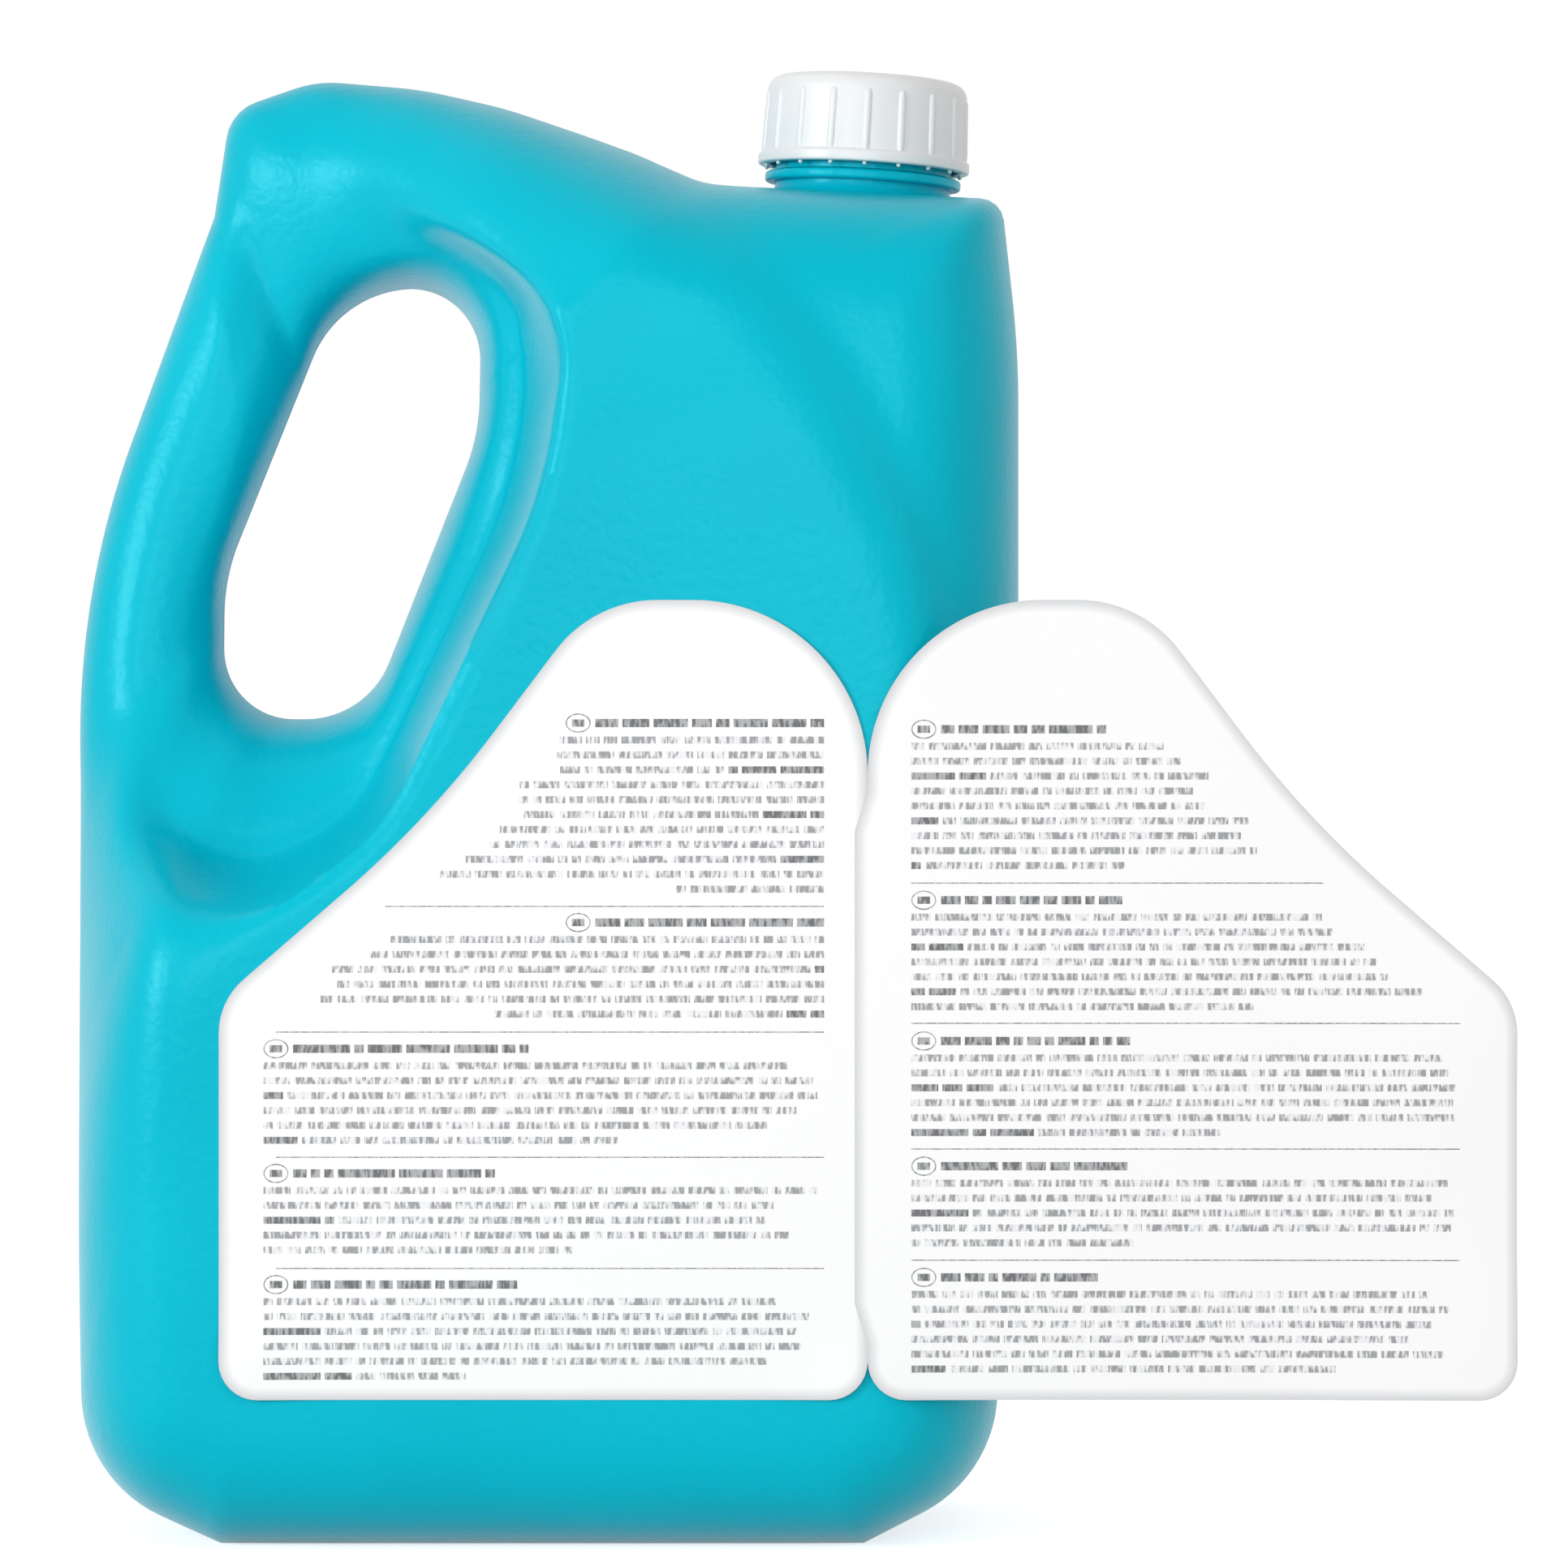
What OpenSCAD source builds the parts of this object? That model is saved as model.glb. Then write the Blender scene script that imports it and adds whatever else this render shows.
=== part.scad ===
// Four-litre household cleaner jug: a hollow blow-moulded body with a through handle,
// a ribbed screw cap with its liner, and a two-ply leaflet label that lies open.
// X runs from the handle to the pour side, Y from front to back and Z upwards.
// The origin is the middle of the base, on the surface the jug stands on.

/* [Body] */
// Overall width, from the handle's back to the pour side
body_w = 187; // [178:1:200]
// Overall depth across the two broad sides
body_d = 116; // [106:1:126]
// Height of the shoulder at the pour side
shoulder_h = 264; // [256:1:272]
// Height of the handle's crown above the shoulder
crown_rise = 25.3; // [22:0.1:34]
// Width of the flat base
base_w = 126; // [116:1:136]
// Thickness of the blown wall
wall = 1.2; // [0.9:0.1:1.6]
// How far the rounded edges reach into the broad sides
edge_reach = 24; // [20:1:27]
// Radius of the two heels, seen from the broad side
heel_r = 26; // [20:1:30]
// Rise of the recess under the base
push_up = 2.5; // [1.5:0.5:4]
// Depth of the curved step beside the label panel
sweep_step = 4.5; // [3:0.5:6]

/* [Handle] */
// Thickness of the handle from front to back
grip_d = 34; // [30:1:38]
// Width of the handle between the finger hole and the jug's back
grip_w = 27.5; // [24:0.5:30]
// Height of the finger hole
hole_h = 86.4; // [80:0.1:92]
// Height of the crown above the finger hole
bridge_h = 41.3; // [38:0.1:45]
// Depth from the broad side down to the recess round the finger hole
recess_depth = 34; // [28:1:38]

/* [Neck] */
// Lean of the neck towards the pour side, in degrees
pour_tilt = 3.2; // [0:0.1:6]
// Distance of the neck's axis from the pour side
neck_inset = 30.6; // [28:0.1:34]
// Outside diameter of the plain neck
neck_d = 35.2; // [33:0.1:37]
// Inside diameter of the neck
bore_d = 30.4; // [28:0.1:31]
// Height of the neck above the shoulder
neck_h = 21.5; // [20:0.1:24]
// Diameter of the ring below the cap
ring_d = 39.3; // [38:0.1:41]
// Thickness of the ring
ring_t = 2; // [1.5:0.1:2.5]
// Height of the ring above the shoulder
ring_z = 3; // [2:0.1:3.5]

/* [Thread] */
// Rise of the thread in one turn
pitch = 4.233; // [3.5:0.001:4.5]
// Height of the thread over its wall
thread_depth = 1.1; // [0.9:0.05:1.2]
// Width of the thread at its foot
thread_foot = 2.2; // [1.8:0.1:2.3]
// Width of the thread at its crest
thread_crest = 1; // [0.8:0.1:1.1]
// Number of turns
thread_turns = 1.25; // [1:0.05:1.4]
// Radial gap between one thread's crest and the other's wall
thread_gap = 0.3; // [0.2:0.05:0.4]

/* [Cap] */
// Thickness of the cap's wall
cap_wall = 1.5; // [1.2:0.1:1.8]
// Thickness of the cap's top plate
cap_top = 1.7; // [1.4:0.1:2]
// Gap between the neck ring and the cap's rim
cap_gap = 1.4; // [1.1:0.1:2]
// How much narrower the cap is at its top, measured on the radius
cap_draft = 0.5; // [0.2:0.1:0.8]
// Radius of the cap's upper edge
cap_round = 3; // [2:0.1:3.4]
// Number of grip ribs
rib_count = 18; // [12:1:24]
// Radius of one rib
rib_r = 0.9; // [0.7:0.1:1.1]
// How far a rib stands out from the wall
rib_out = 0.5; // [0.3:0.1:0.6]
// Plain height left above the ribs
rib_margin = 3; // [2.6:0.1:4]
// Height of the bead round the rim
bead_h = 2.6; // [1.8:0.1:3]
// How far the bead stands out from the wall
bead_out = 0.7; // [0.4:0.1:1]
// Thickness of the foam liner
liner_t = 1; // [0.8:0.1:1.4]
// Gap between the liner and the parts round it
liner_gap = 0.06; // [0.04:0.01:0.1]

/* [Label] */
// Width of one page
label_w = 124.9; // [116:0.1:128]
// Height of one page
label_h = 154; // [150:0.1:158]
// Thickness of one ply
label_t = 0.15; // [0.1:0.01:0.3]
// Height of the page's lower edge above the base
label_z = 30.1; // [28:0.1:32]
// Distance of the page's free edge from the middle of the jug
label_x = 61.5; // [58:0.1:63]
// Radius of the page's lower corners
page_r = 7.5; // [5:0.5:10]
// Width of the glued strip along the spine
spine_w = 2.5; // [2:0.1:4]

/* [Hidden] */
$fn = 72;

// Colours of the mouldings
body_teal = [0.08, 0.72, 0.80];
cap_white = [0.95, 0.95, 0.95];
foam_white = [0.88, 0.88, 0.86];
film_white = [1, 1, 1];

// Longest stretch between two points of an outline, and the largest turn of an arc's step
ray_step = 15;
fine_step = 4;
arc_turn = 20;

// Half sizes and the places of the two upright sides
half_w = body_w / 2;
half_d = body_d / 2;
half_grip = grip_d / 2;
half_base = base_w / 2;
shoulder_run = half_w - 34.5;
shoulder_end = half_w - 3.2 - shoulder_run;
shoulder_top = shoulder_h + shoulder_run * tan(pour_tilt);
recess_half = half_d - recess_depth;

// The crown, and the finger hole's middle, from which every section of the body is drawn
crown_h = shoulder_h + crown_rise;
hole_top = crown_h - bridge_h;
hole_z = hole_top - hole_h;
hole_left = -half_w + 1 + grip_w;
hole_x = hole_left + 25.4;
hole_mid = [hole_x, hole_z + 0.46 * hole_h];
// Height at which the handle's back has widened to the body's back
root_z = hole_z - 69.6;

// Outer outline at the parting plane, anticlockwise from the left end of the base:
// x, z, corner radius, half width of the flat edge, reach of the edge's rounding, half depth
side_flat = half_d - 32;
base_flat = half_d - 24;
SILHOUETTE = [
    [-half_base, 0, 0, base_flat, edge_reach, half_d],
    [half_base, 0, 0, base_flat, edge_reach, half_d],
    [half_w - 4.5, 12.7, heel_r, side_flat, edge_reach, half_d],
    [half_w, 182, 100, side_flat, edge_reach, half_d],
    [half_w, shoulder_h - 30, 200, side_flat, edge_reach, half_d],
    [half_w - 3.2, shoulder_h, 5, side_flat - 3, edge_reach + 1, half_d - 1],
    [shoulder_end, shoulder_top, 3, 18, edge_reach, half_d - 1],
    [shoulder_end - 13.3, crown_h - 15.3, 60, 12, edge_reach + 1, half_d - 8],
    [-half_w + 85.5, crown_h - 5.9, 80, 6, edge_reach + 1, half_d - 19],
    [-half_w + 68.5, crown_h - 1.9, 80, 5, edge_reach - 2, half_grip + 12],
    [-half_w + 47.3, crown_h, 23, 4, edge_reach - 5, half_grip + 3],
    [-half_w + 30, crown_h - 6, 9, 4, 14, half_grip],
    [-half_w + 26.8, crown_h - 27.2, 0, 4, 13, half_grip],
    [-half_w - 0.9, hole_z + 25, 170, 4, 12, half_grip],
    [-half_w + 0.2, hole_z - 11.6, 0, 5, 13, half_grip + 1],
    [-half_w + 1.2, root_z, 0, side_flat - 9, edge_reach, half_d],
    [-half_w + 1.9, 0.6 * root_z, 0, side_flat, edge_reach, half_d],
    [-half_w + 2.7, 11.7, heel_r, side_flat, edge_reach, half_d]
];

// Edge of the finger hole at the parting plane, anticlockwise from the right: x, z, corner radius
FINGER_HOLE = [
    [hole_left + 51, hole_z + 0.66 * hole_h, 40],
    [hole_left + 51.6, hole_top, 14],
    [hole_left + 23.3, hole_top, 22],
    [hole_left, hole_z + 0.33 * hole_h, 40],
    [hole_left - 0.2, hole_z, 14],
    [hole_left + 28.5, hole_z, 18]
];

// Foot of the slope round the hole, in the same order: x, z, corner radius, half depth
FOOT = [
    [hole_left + 59.5, hole_top - 40, 90, recess_half - 1],
    [hole_left + 60, hole_top - 4, 14, recess_half + 3],
    [hole_left + 51, hole_top + 6, 18, recess_half + 2],
    [hole_left + 15, hole_top + 10, 14, half_grip + 1],
    [hole_left + 5, hole_top - 15, 80, half_grip - 0.5],
    [hole_left - 10, hole_z + 11, 90, half_grip - 0.5],
    [hole_left - 14, hole_z - 36, 18, recess_half + 3],
    [hole_left + 27, hole_z - 19, 26, recess_half]
];

// Crest of the slope, where the broad side begins: x, z, corner radius
CREST = [
    [hole_left + 66, hole_top - 43, 90],
    [hole_left + 71.5, hole_top - 7, 22],
    [hole_left + 29, hole_top + 20, 50],
    [hole_left + 5, hole_top + 27.5, 8],
    [hole_left - 1, hole_top - 15, 80],
    [hole_left - 17, hole_z + 11, 90],
    [hole_left - 24, hole_z - 66, 24],
    [hole_left + 35, hole_z - 22, 40]
];

// The curved step beside the label panel runs between two arcs, x, z and radius, which
// cross on the crown. There it fades in over a run.
SWEEP_INNER = [-half_w + 0.8, shoulder_h - 133, 164.5];
SWEEP_OUTER = [-half_w + 46.6, shoulder_h - 119.2, 131.9];
sweep_start = -half_w + 83.5;
sweep_run = 45;

// Rows of a body section: rounded hole edge, slope, broad side, rounded edge, flat edge
hole_rows = 4;
slope_rows = 3;
side_rows = 3;
edge_rows = 5;
flat_parts = [0.86, 0.68, 0];
last_row = hole_rows + slope_rows + side_rows + edge_rows + len(flat_parts);

// The recess under the base and the ring that the jug stands on
stand_ring = 5;
push_ramp = 5;

// The neck's axis meets the shoulder here
neck_x = half_w - neck_inset;
neck_z = shoulder_h + (neck_inset - 3.2) * tan(pour_tilt);
neck_r = neck_d / 2;
bore_r = bore_d / 2;
ring_r = ring_d / 2;
neck_root = 4;
root_flare = 2;
rim_round = 0.8;
thread_sink = 0.25;
thread_fade = 30;
thread_step = 15;
thread_r = neck_r + thread_depth;
thread_z = ring_z + ring_t + 6.2;

// The cap, in the neck's own frame
cap_z = ring_z + ring_t + cap_gap;
cap_in_r = thread_r + thread_gap;
cap_r = cap_in_r + cap_wall;
cap_seat = neck_h + liner_gap + liner_t + liner_gap;
cap_h = cap_seat + cap_top - cap_z;
cap_top_r = cap_r - cap_draft;
cap_lean = atan(cap_draft / (cap_h - bead_h - cap_round));
bead_round = 0.5;
stub_r = 0.45;
stub_h = 0.7;
liner_r = cap_in_r - 0.4;
cap_arc_steps = 6;

// The label's spine, the round of its dome and the plain ends of the glued strip
spine_x = label_w - label_x;
dome_r = 33.6;
strip_margin = 3;

// Small functions for points that begin with x and z
function xz(p) = [p[0], p[1]];
function unit(v) = v / norm(v);
function turned(v, a) = [v[0] * cos(a) - v[1] * sin(a), v[0] * sin(a) + v[1] * cos(a)];
function ease(t) = let (u = min(max(t, 0), 1)) u * u * (3 - 2 * u);
function clamp_unit(t) = min(max(t, -1), 1);

// Points of one rounded corner
function corner_points(before, at, after, step) =
    at[2] <= 0 ? [xz(at)] :
    let (u = unit(xz(before) - xz(at)), v = unit(xz(after) - xz(at)),
         half = acos(clamp_unit(u * v)) / 2,
         turn = 180 - 2 * half,
         middle = xz(at) + unit(u + v) * at[2] / sin(half),
         arm = xz(at) + u * at[2] / tan(half) - middle,
         way = -sign(cross(u, v)),
         n = max(1, ceil(turn / arc_turn), ceil(turn * PI / 180 * at[2] / step)))
    [for (k = [0:n]) middle + turned(arm, way * turn * k / n)];

// The rounded corners of a closed outline, one list of points for each
function corner_arcs(corners, step) =
    let (n = len(corners))
    [for (i = [0:n - 1])
        corner_points(corners[(i + n - 1) % n], corners[i], corners[(i + 1) % n], step)];

// The values behind a corner's radius, and a point with values between those of two corners
function values(corner) = [for (i = [3:1:len(corner) - 1]) corner[i]];
function valued(p, a, b, t) = concat(p, values(a) + (values(b) - values(a)) * t);

// Closed outline through rounded corners, with no stretch longer than step. The values
// behind the radius change evenly along the outline, from one corner's middle to the next.
function outline(corners, step) =
    let (n = len(corners),
         arcs = corner_arcs(corners, step),
         half = [for (arc = arcs) (len(arc) - 1) * (len(arc) > 1 ? norm(arc[1] - arc[0]) : 0) / 2],
         line = [for (i = [0:n - 1]) arcs[(i + 1) % n][0] - arcs[i][len(arcs[i]) - 1]],
         span = [for (i = [0:n - 1]) half[i] + norm(line[i]) + half[(i + 1) % n]])
    [for (i = [0:n - 1])
        let (arc = arcs[i], last = len(arc) - 1, m = ceil(norm(line[i]) / step),
             back = (i + n - 1) % n, next = (i + 1) % n)
        each concat(
            [for (k = [0:last])
                let (s = last > 0 ? (2 * k / last - 1) * half[i] : 0)
                s < 0 ? valued(arc[k], corners[i], corners[back], -s / span[back])
                      : valued(arc[k], corners[i], corners[next], s / span[i])],
            [for (k = [1:1:m - 1])
                valued(arc[last] + line[i] * k / m, corners[i], corners[next],
                       (half[i] + norm(line[i]) * k / m) / span[i])])];

// Where a ray from the hole's middle meets an outline
function hit(line, way) =
    [for (i = [0:len(line) - 1])
        let (p = line[i], q = line[(i + 1) % len(line)],
             a = cross(way, xz(p) - hole_mid), b = cross(way, xz(q) - hole_mid))
        if (a <= 0 && b > 0 && (xz(p) + xz(q) - 2 * hole_mid) * way > 0)
            p + (q - p) * a / (a - b)][0];

// Distance of a point from a closed outline
function gap_to(line, p) =
    min([for (i = [0:len(line) - 1])
        let (a = xz(line[i]), b = xz(line[(i + 1) % len(line)]), ab = b - a,
             t = min(max((p - a) * ab / (ab * ab), 0), 1))
        norm(p - a - ab * t)]);

// How far a point lies outside an arc that runs on straight down below its middle
function past_arc(p, arc) = norm([p[0] - arc[0], max(p[1] - arc[1], 0)]) - arc[2];

// Depth of the curved step at a point
function sweep(p) =
    let (a = past_arc(p, SWEEP_INNER), b = past_arc(p, SWEEP_OUTER),
         share = a <= 0 ? 0 : b >= 0 ? 1 : a / (a - b))
    sweep_step * ease(share) * ease((p[0] - sweep_start) / sweep_run);

// Half depth of the broad side at a point, rounded off towards the outline.
// o is the outline's point on the same ray, with its flat, reach and half depth.
function broad_side(line, p, o) =
    let (away = 1 - min(gap_to(line, p) / o[3], 1))
    o[2] + (o[4] - sweep(p) - o[2]) * sqrt(1 - away * away);

// Rise of the base recess
function base_rise(x, y) =
    push_up * ease((half_base - stand_ring - abs(x)) / push_ramp)
            * ease((base_flat - stand_ring - abs(y)) / push_ramp);

// One body section, from the finger hole to the outline, as points of the back half
function section(line, o, hole, foot, crest) =
    let (way = unit(xz(o) - hole_mid),
         h = xz(hit(hole, way)), f = hit(foot, way), c = xz(hit(crest, way)),
         top = broad_side(line, c, o),
         low = min(f[2], 0.92 * top),
         span = norm(xz(o) - c),
         round_span = min(1.15 * o[3], 0.7 * span),
         side_end = xz(o) - way * round_span)
    concat(
        [for (k = [0:hole_rows])
            let (a = 90 * k / hole_rows, p = h + (xz(f) - h) * (1 - cos(a)))
            [p[0], low * sin(a), p[1]]],
        [for (k = [1:slope_rows])
            let (t = k / slope_rows, p = xz(f) + (c - xz(f)) * t)
            [p[0], low + (top - low) * t * t * (2 - t), p[1]]],
        [for (k = [1:side_rows])
            let (p = c + (side_end - c) * k / side_rows)
            [p[0], broad_side(line, p, o), p[1]]],
        [for (k = [1:edge_rows])
            let (a = 90 * (1 - k / edge_rows), p = xz(o) - way * round_span * (1 - cos(a)))
            [p[0], broad_side(line, p, o), p[1]]],
        [for (part = flat_parts)
            let (y = o[2] * part)
            [o[0], y, o[1] + (o[1] < 0.01 ? base_rise(o[0], y) : 0)]]
    );

// A section closed to a ring by its mirror image
function ring_of(half) =
    concat(half, [for (k = [last_row - 1:-1:1]) [half[k][0], -half[k][1], half[k][2]]]);

// Rings of the whole outer skin
function skin_rings() =
    let (line = outline(SILHOUETTE, ray_step),
         hole = outline(FINGER_HOLE, fine_step),
         foot = outline(FOOT, fine_step),
         crest = outline(CREST, fine_step))
    [for (o = line) ring_of(section(line, o, hole, foot, crest))];

// The same rings moved inwards by the wall
function inner_rings(rings) =
    let (n = len(rings), m = len(rings[0]))
    [for (i = [0:n - 1]) [for (j = [0:m - 1])
        let (along = unit(rings[(i + 1) % n][j] - rings[(i + n - 1) % n][j]),
             across = unit(rings[i][(j + 1) % m] - rings[i][(j + m - 1) % m]))
        rings[i][j] - wall * unit(cross(along, across))]];

// Closed solid through rings that form a loop
module ring_solid(rings) {
    n = len(rings);
    m = len(rings[0]);
    faces = [for (i = [0:n - 1]) for (j = [0:m - 1])
        let (a = i * m + j, b = i * m + (j + 1) % m,
             c = (i + 1) % n * m + (j + 1) % m, d = (i + 1) % n * m + j)
        each [[a, b, c], [a, c, d]]];
    polyhedron(points = [for (ring = rings) each ring], faces = faces, convexity = 8);
}

// Moves its children into the leaning frame of the neck
module on_neck() {
    translate([neck_x, 0, neck_z])
        rotate([0, pour_tilt, 0])
            children();
}

// A trapezoid thread swept round Z. The wall is at wall_r and out is 1 for a thread on
// the outside of a wall and -1 for one on the inside. It fades into the wall at both ends.
module thread(wall_r, out, z) {
    steps = round(thread_turns * 360 / thread_step);
    rings = [for (k = [0:steps])
        let (a = k * thread_step,
             full = ease(min(a, steps * thread_step - a) / thread_fade),
             foot_r = wall_r - out * thread_sink,
             crest_r = foot_r + out * (0.1 + (thread_sink + thread_depth - 0.1) * full),
             zc = z + pitch * a / 360)
        [for (p = [[foot_r, -thread_foot / 2], [crest_r, -thread_crest / 2],
                   [crest_r, thread_crest / 2], [foot_r, thread_foot / 2]])
            [p[0] * cos(a), p[0] * sin(a), zc + p[1]]]];
    sides = [for (k = [0:steps - 1]) for (j = [0:3])
        let (a = 4 * k + j, b = 4 * k + (j + 1) % 4)
        each [[a, b, b + 4], [a, b + 4, a + 4]]];
    last = 4 * steps;
    ends = [[3, 2, 1], [3, 1, 0], [last, last + 1, last + 2], [last, last + 2, last + 3]];
    all = concat(sides, ends);
    polyhedron(points = [for (ring = rings) each ring],
        faces = out > 0 ? all : [for (f = all) [f[2], f[1], f[0]]], convexity = 6);
}

// Neck wall with its flared root, ring and rounded rim
module neck_wall() {
    rotate_extrude()
        polygon([[0, -neck_root], [neck_r, -neck_root], [neck_r + root_flare, -neck_root],
            [neck_r + root_flare, 0], [neck_r, root_flare], [neck_r, ring_z],
            [ring_r - ring_t / 4, ring_z], [ring_r, ring_z + ring_t / 3],
            [ring_r, ring_z + ring_t * 2 / 3], [ring_r - ring_t / 4, ring_z + ring_t],
            [neck_r, ring_z + ring_t], [neck_r, neck_h - rim_round],
            [neck_r - rim_round, neck_h], [0, neck_h]]);
}

// The blown body with its handle, neck and thread
module jug() {
    rings = skin_rings();
    color(body_teal)
        difference() {
            union() {
                ring_solid(rings);
                on_neck() {
                    neck_wall();
                    thread(neck_r, 1, thread_z);
                }
            }
            ring_solid(inner_rings(rings));
            on_neck()
                translate([0, 0, -neck_root - wall])
                    cylinder(r = bore_r, h = neck_h + 2 * neck_root);
        }
}

// Grip ribs that lean with the wall, from the bead up to round tips
module ribs() {
    low = bead_h - rib_r;
    length = cap_h - rib_margin - rib_r - low;
    for (i = [0:rib_count - 1])
        rotate([0, 0, 360 / rib_count * (i + 0.5)])
            translate([cap_r + rib_out - rib_r, 0, low])
                rotate([0, -cap_lean, 0]) {
                    cylinder(r = rib_r, h = length, $fn = 24);
                    translate([0, 0, length])
                        sphere(r = rib_r, $fn = 24);
                }
}

// Short stubs under the rim, where the tamper band was broken off
module stubs() {
    for (i = [0:rib_count - 1])
        rotate([0, 0, 360 / rib_count * (i + 0.5)])
            translate([cap_in_r + cap_wall / 2, 0, -stub_h])
                cylinder(r = stub_r, h = stub_h + bead_h / 2, $fn = 16);
}

// Ribbed screw cap
module cap() {
    edge = [for (k = [0:cap_arc_steps])
        let (a = 90 * k / cap_arc_steps)
        [cap_top_r - cap_round + cap_round * cos(a), cap_h - cap_round + cap_round * sin(a)]];
    color(cap_white)
        on_neck()
            translate([0, 0, cap_z]) {
                difference() {
                    union() {
                        rotate_extrude()
                            polygon(concat([[0, 0], [cap_r + bead_out - bead_round, 0],
                                [cap_r + bead_out, bead_round],
                                [cap_r + bead_out, bead_h - 2 * bead_round],
                                [cap_r + bead_out - bead_round / 2, bead_h - bead_round / 2],
                                [cap_r, bead_h]], edge, [[0, cap_h]]));
                        ribs();
                        stubs();
                    }
                    translate([0, 0, -1])
                        cylinder(r = cap_in_r, h = cap_seat - cap_z + 1);
                }
                thread(cap_in_r, -1, thread_z - cap_z + pitch / 2);
            }
}

// Foam disc between the cap's top plate and the neck's rim
module cap_liner() {
    color(foam_white)
        on_neck()
            translate([0, 0, neck_h + liner_gap])
                cylinder(r = liner_r, h = liner_t);
}

// Outline of one page as offsets from its spine. The tab reaches past the spine.
function page_points(tab) =
    let (top = label_z + label_h,
         low = label_z + page_r + strip_margin,
         high = top - dome_r - strip_margin,
         arcs = corner_arcs([
             [-label_w, label_z, page_r],
             [0, label_z, page_r],
             [0, top, dome_r],
             [-52.7, top, 24.5],
             [40.2 - label_w, top - 42.4, 200],
             [-label_w, top - 77.2, 13.6]
         ], fine_step),
         strip = tab > 0 ? [[0, low], [tab, low], [tab, high], [0, high]] : [])
    concat([for (i = [0:1]) for (p = arcs[i]) xz(p)], strip,
           [for (i = [2:5]) for (p = arcs[i]) xz(p)]);

// A page on one side of the spine: -1 is the glued side and 1 the opened side
module page(side, tab) {
    polygon([for (p = page_points(tab)) [spine_x - side * p[0], p[1]]]);
}

// Lays a flat shape against the front broad side, off it by the given height
module on_panel(height, thickness) {
    translate([0, -half_d - height, 0])
        rotate([90, 0, 0])
            linear_extrude(thickness)
                children();
}

// The ply that is glued to the panel
module label_base() {
    color(film_white)
        on_panel(0, label_t)
            page(-1, 0);
}

// The cover ply, opened to the pour side and held by the strip along the spine
module label_leaf() {
    color(film_white)
        on_panel(label_t, label_t)
            page(1, spine_w);
}

jug();
cap();
cap_liner();
label_base();
label_leaf();
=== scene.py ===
# Looks of a household cleaner jug: blow-moulded body, screw cap and an opened leaflet label.
# Sizes are in millimetres and turned into metres where a mesh is made.
import math
import random

import bmesh
import bpy
import numpy as np
from mathutils import Matrix, Vector
from mathutils.bvhtree import BVHTree


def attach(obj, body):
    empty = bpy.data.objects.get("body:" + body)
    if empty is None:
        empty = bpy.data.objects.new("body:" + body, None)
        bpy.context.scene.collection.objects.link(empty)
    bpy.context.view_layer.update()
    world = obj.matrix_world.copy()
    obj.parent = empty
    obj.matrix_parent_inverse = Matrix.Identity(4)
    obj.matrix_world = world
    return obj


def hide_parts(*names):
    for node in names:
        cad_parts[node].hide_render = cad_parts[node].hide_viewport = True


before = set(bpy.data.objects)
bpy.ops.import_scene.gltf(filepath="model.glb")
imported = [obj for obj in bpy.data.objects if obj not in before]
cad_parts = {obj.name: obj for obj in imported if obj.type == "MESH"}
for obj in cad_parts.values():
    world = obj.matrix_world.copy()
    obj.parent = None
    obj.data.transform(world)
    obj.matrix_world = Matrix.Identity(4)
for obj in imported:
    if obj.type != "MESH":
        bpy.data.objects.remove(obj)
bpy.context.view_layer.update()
MM = 0.001

# Camera
# It stands level, square to the labelled broad side, as far off as the perspective of the
# cap shows. The frame takes in 315 mm across at the jug's middle plane.
camera_distance = 1400
camera_x, camera_z = 47.3, 150.4
frame_width = 314.9
sensor = 36

camera_data = bpy.data.cameras.new("camera")
camera_data.sensor_width = sensor
camera_data.lens = sensor * camera_distance / frame_width
camera = bpy.data.objects.new("camera", camera_data)
camera.location = (camera_x * MM, -camera_distance * MM, camera_z * MM)
camera.rotation_euler = (math.radians(90), 0, 0)
bpy.context.collection.objects.link(camera)
bpy.context.scene.camera = camera

# Jug: outlines
# One blow-moulded piece of turquoise polyethylene. Every section of its skin runs from the
# finger hole out to the parting line, over a recess, a slope and the flat broad side.
half_w, half_d, half_base = 93.5, 58.0, 63.0
shoulder_h, crown_rise, bridge_h = 264.0, 25.3, 41.3
shoulder_run, pour_tilt = 59.0, 3.2
edge_reach, heel_r = 24.0, 26.0
half_grip, grip_w = 17.0, 27.5
hole_h, root_drop = 86.4, 69.6
recess_half = 24.0
side_flat, base_flat = half_d - 32, half_d - 24
push_up, stand_ring, push_ramp = 2.5, 5.0, 5.0
sweep_step = 4.5

shoulder_top = shoulder_h + shoulder_run * math.tan(math.radians(pour_tilt))
crown_h = shoulder_h + crown_rise
hole_top = crown_h - bridge_h
hole_z = hole_top - hole_h
root_z = hole_z - root_drop
hole_left = -half_w + 1 + grip_w
hole_mid = np.array([hole_left + 25.4, hole_z + 0.46 * hole_h])

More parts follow.
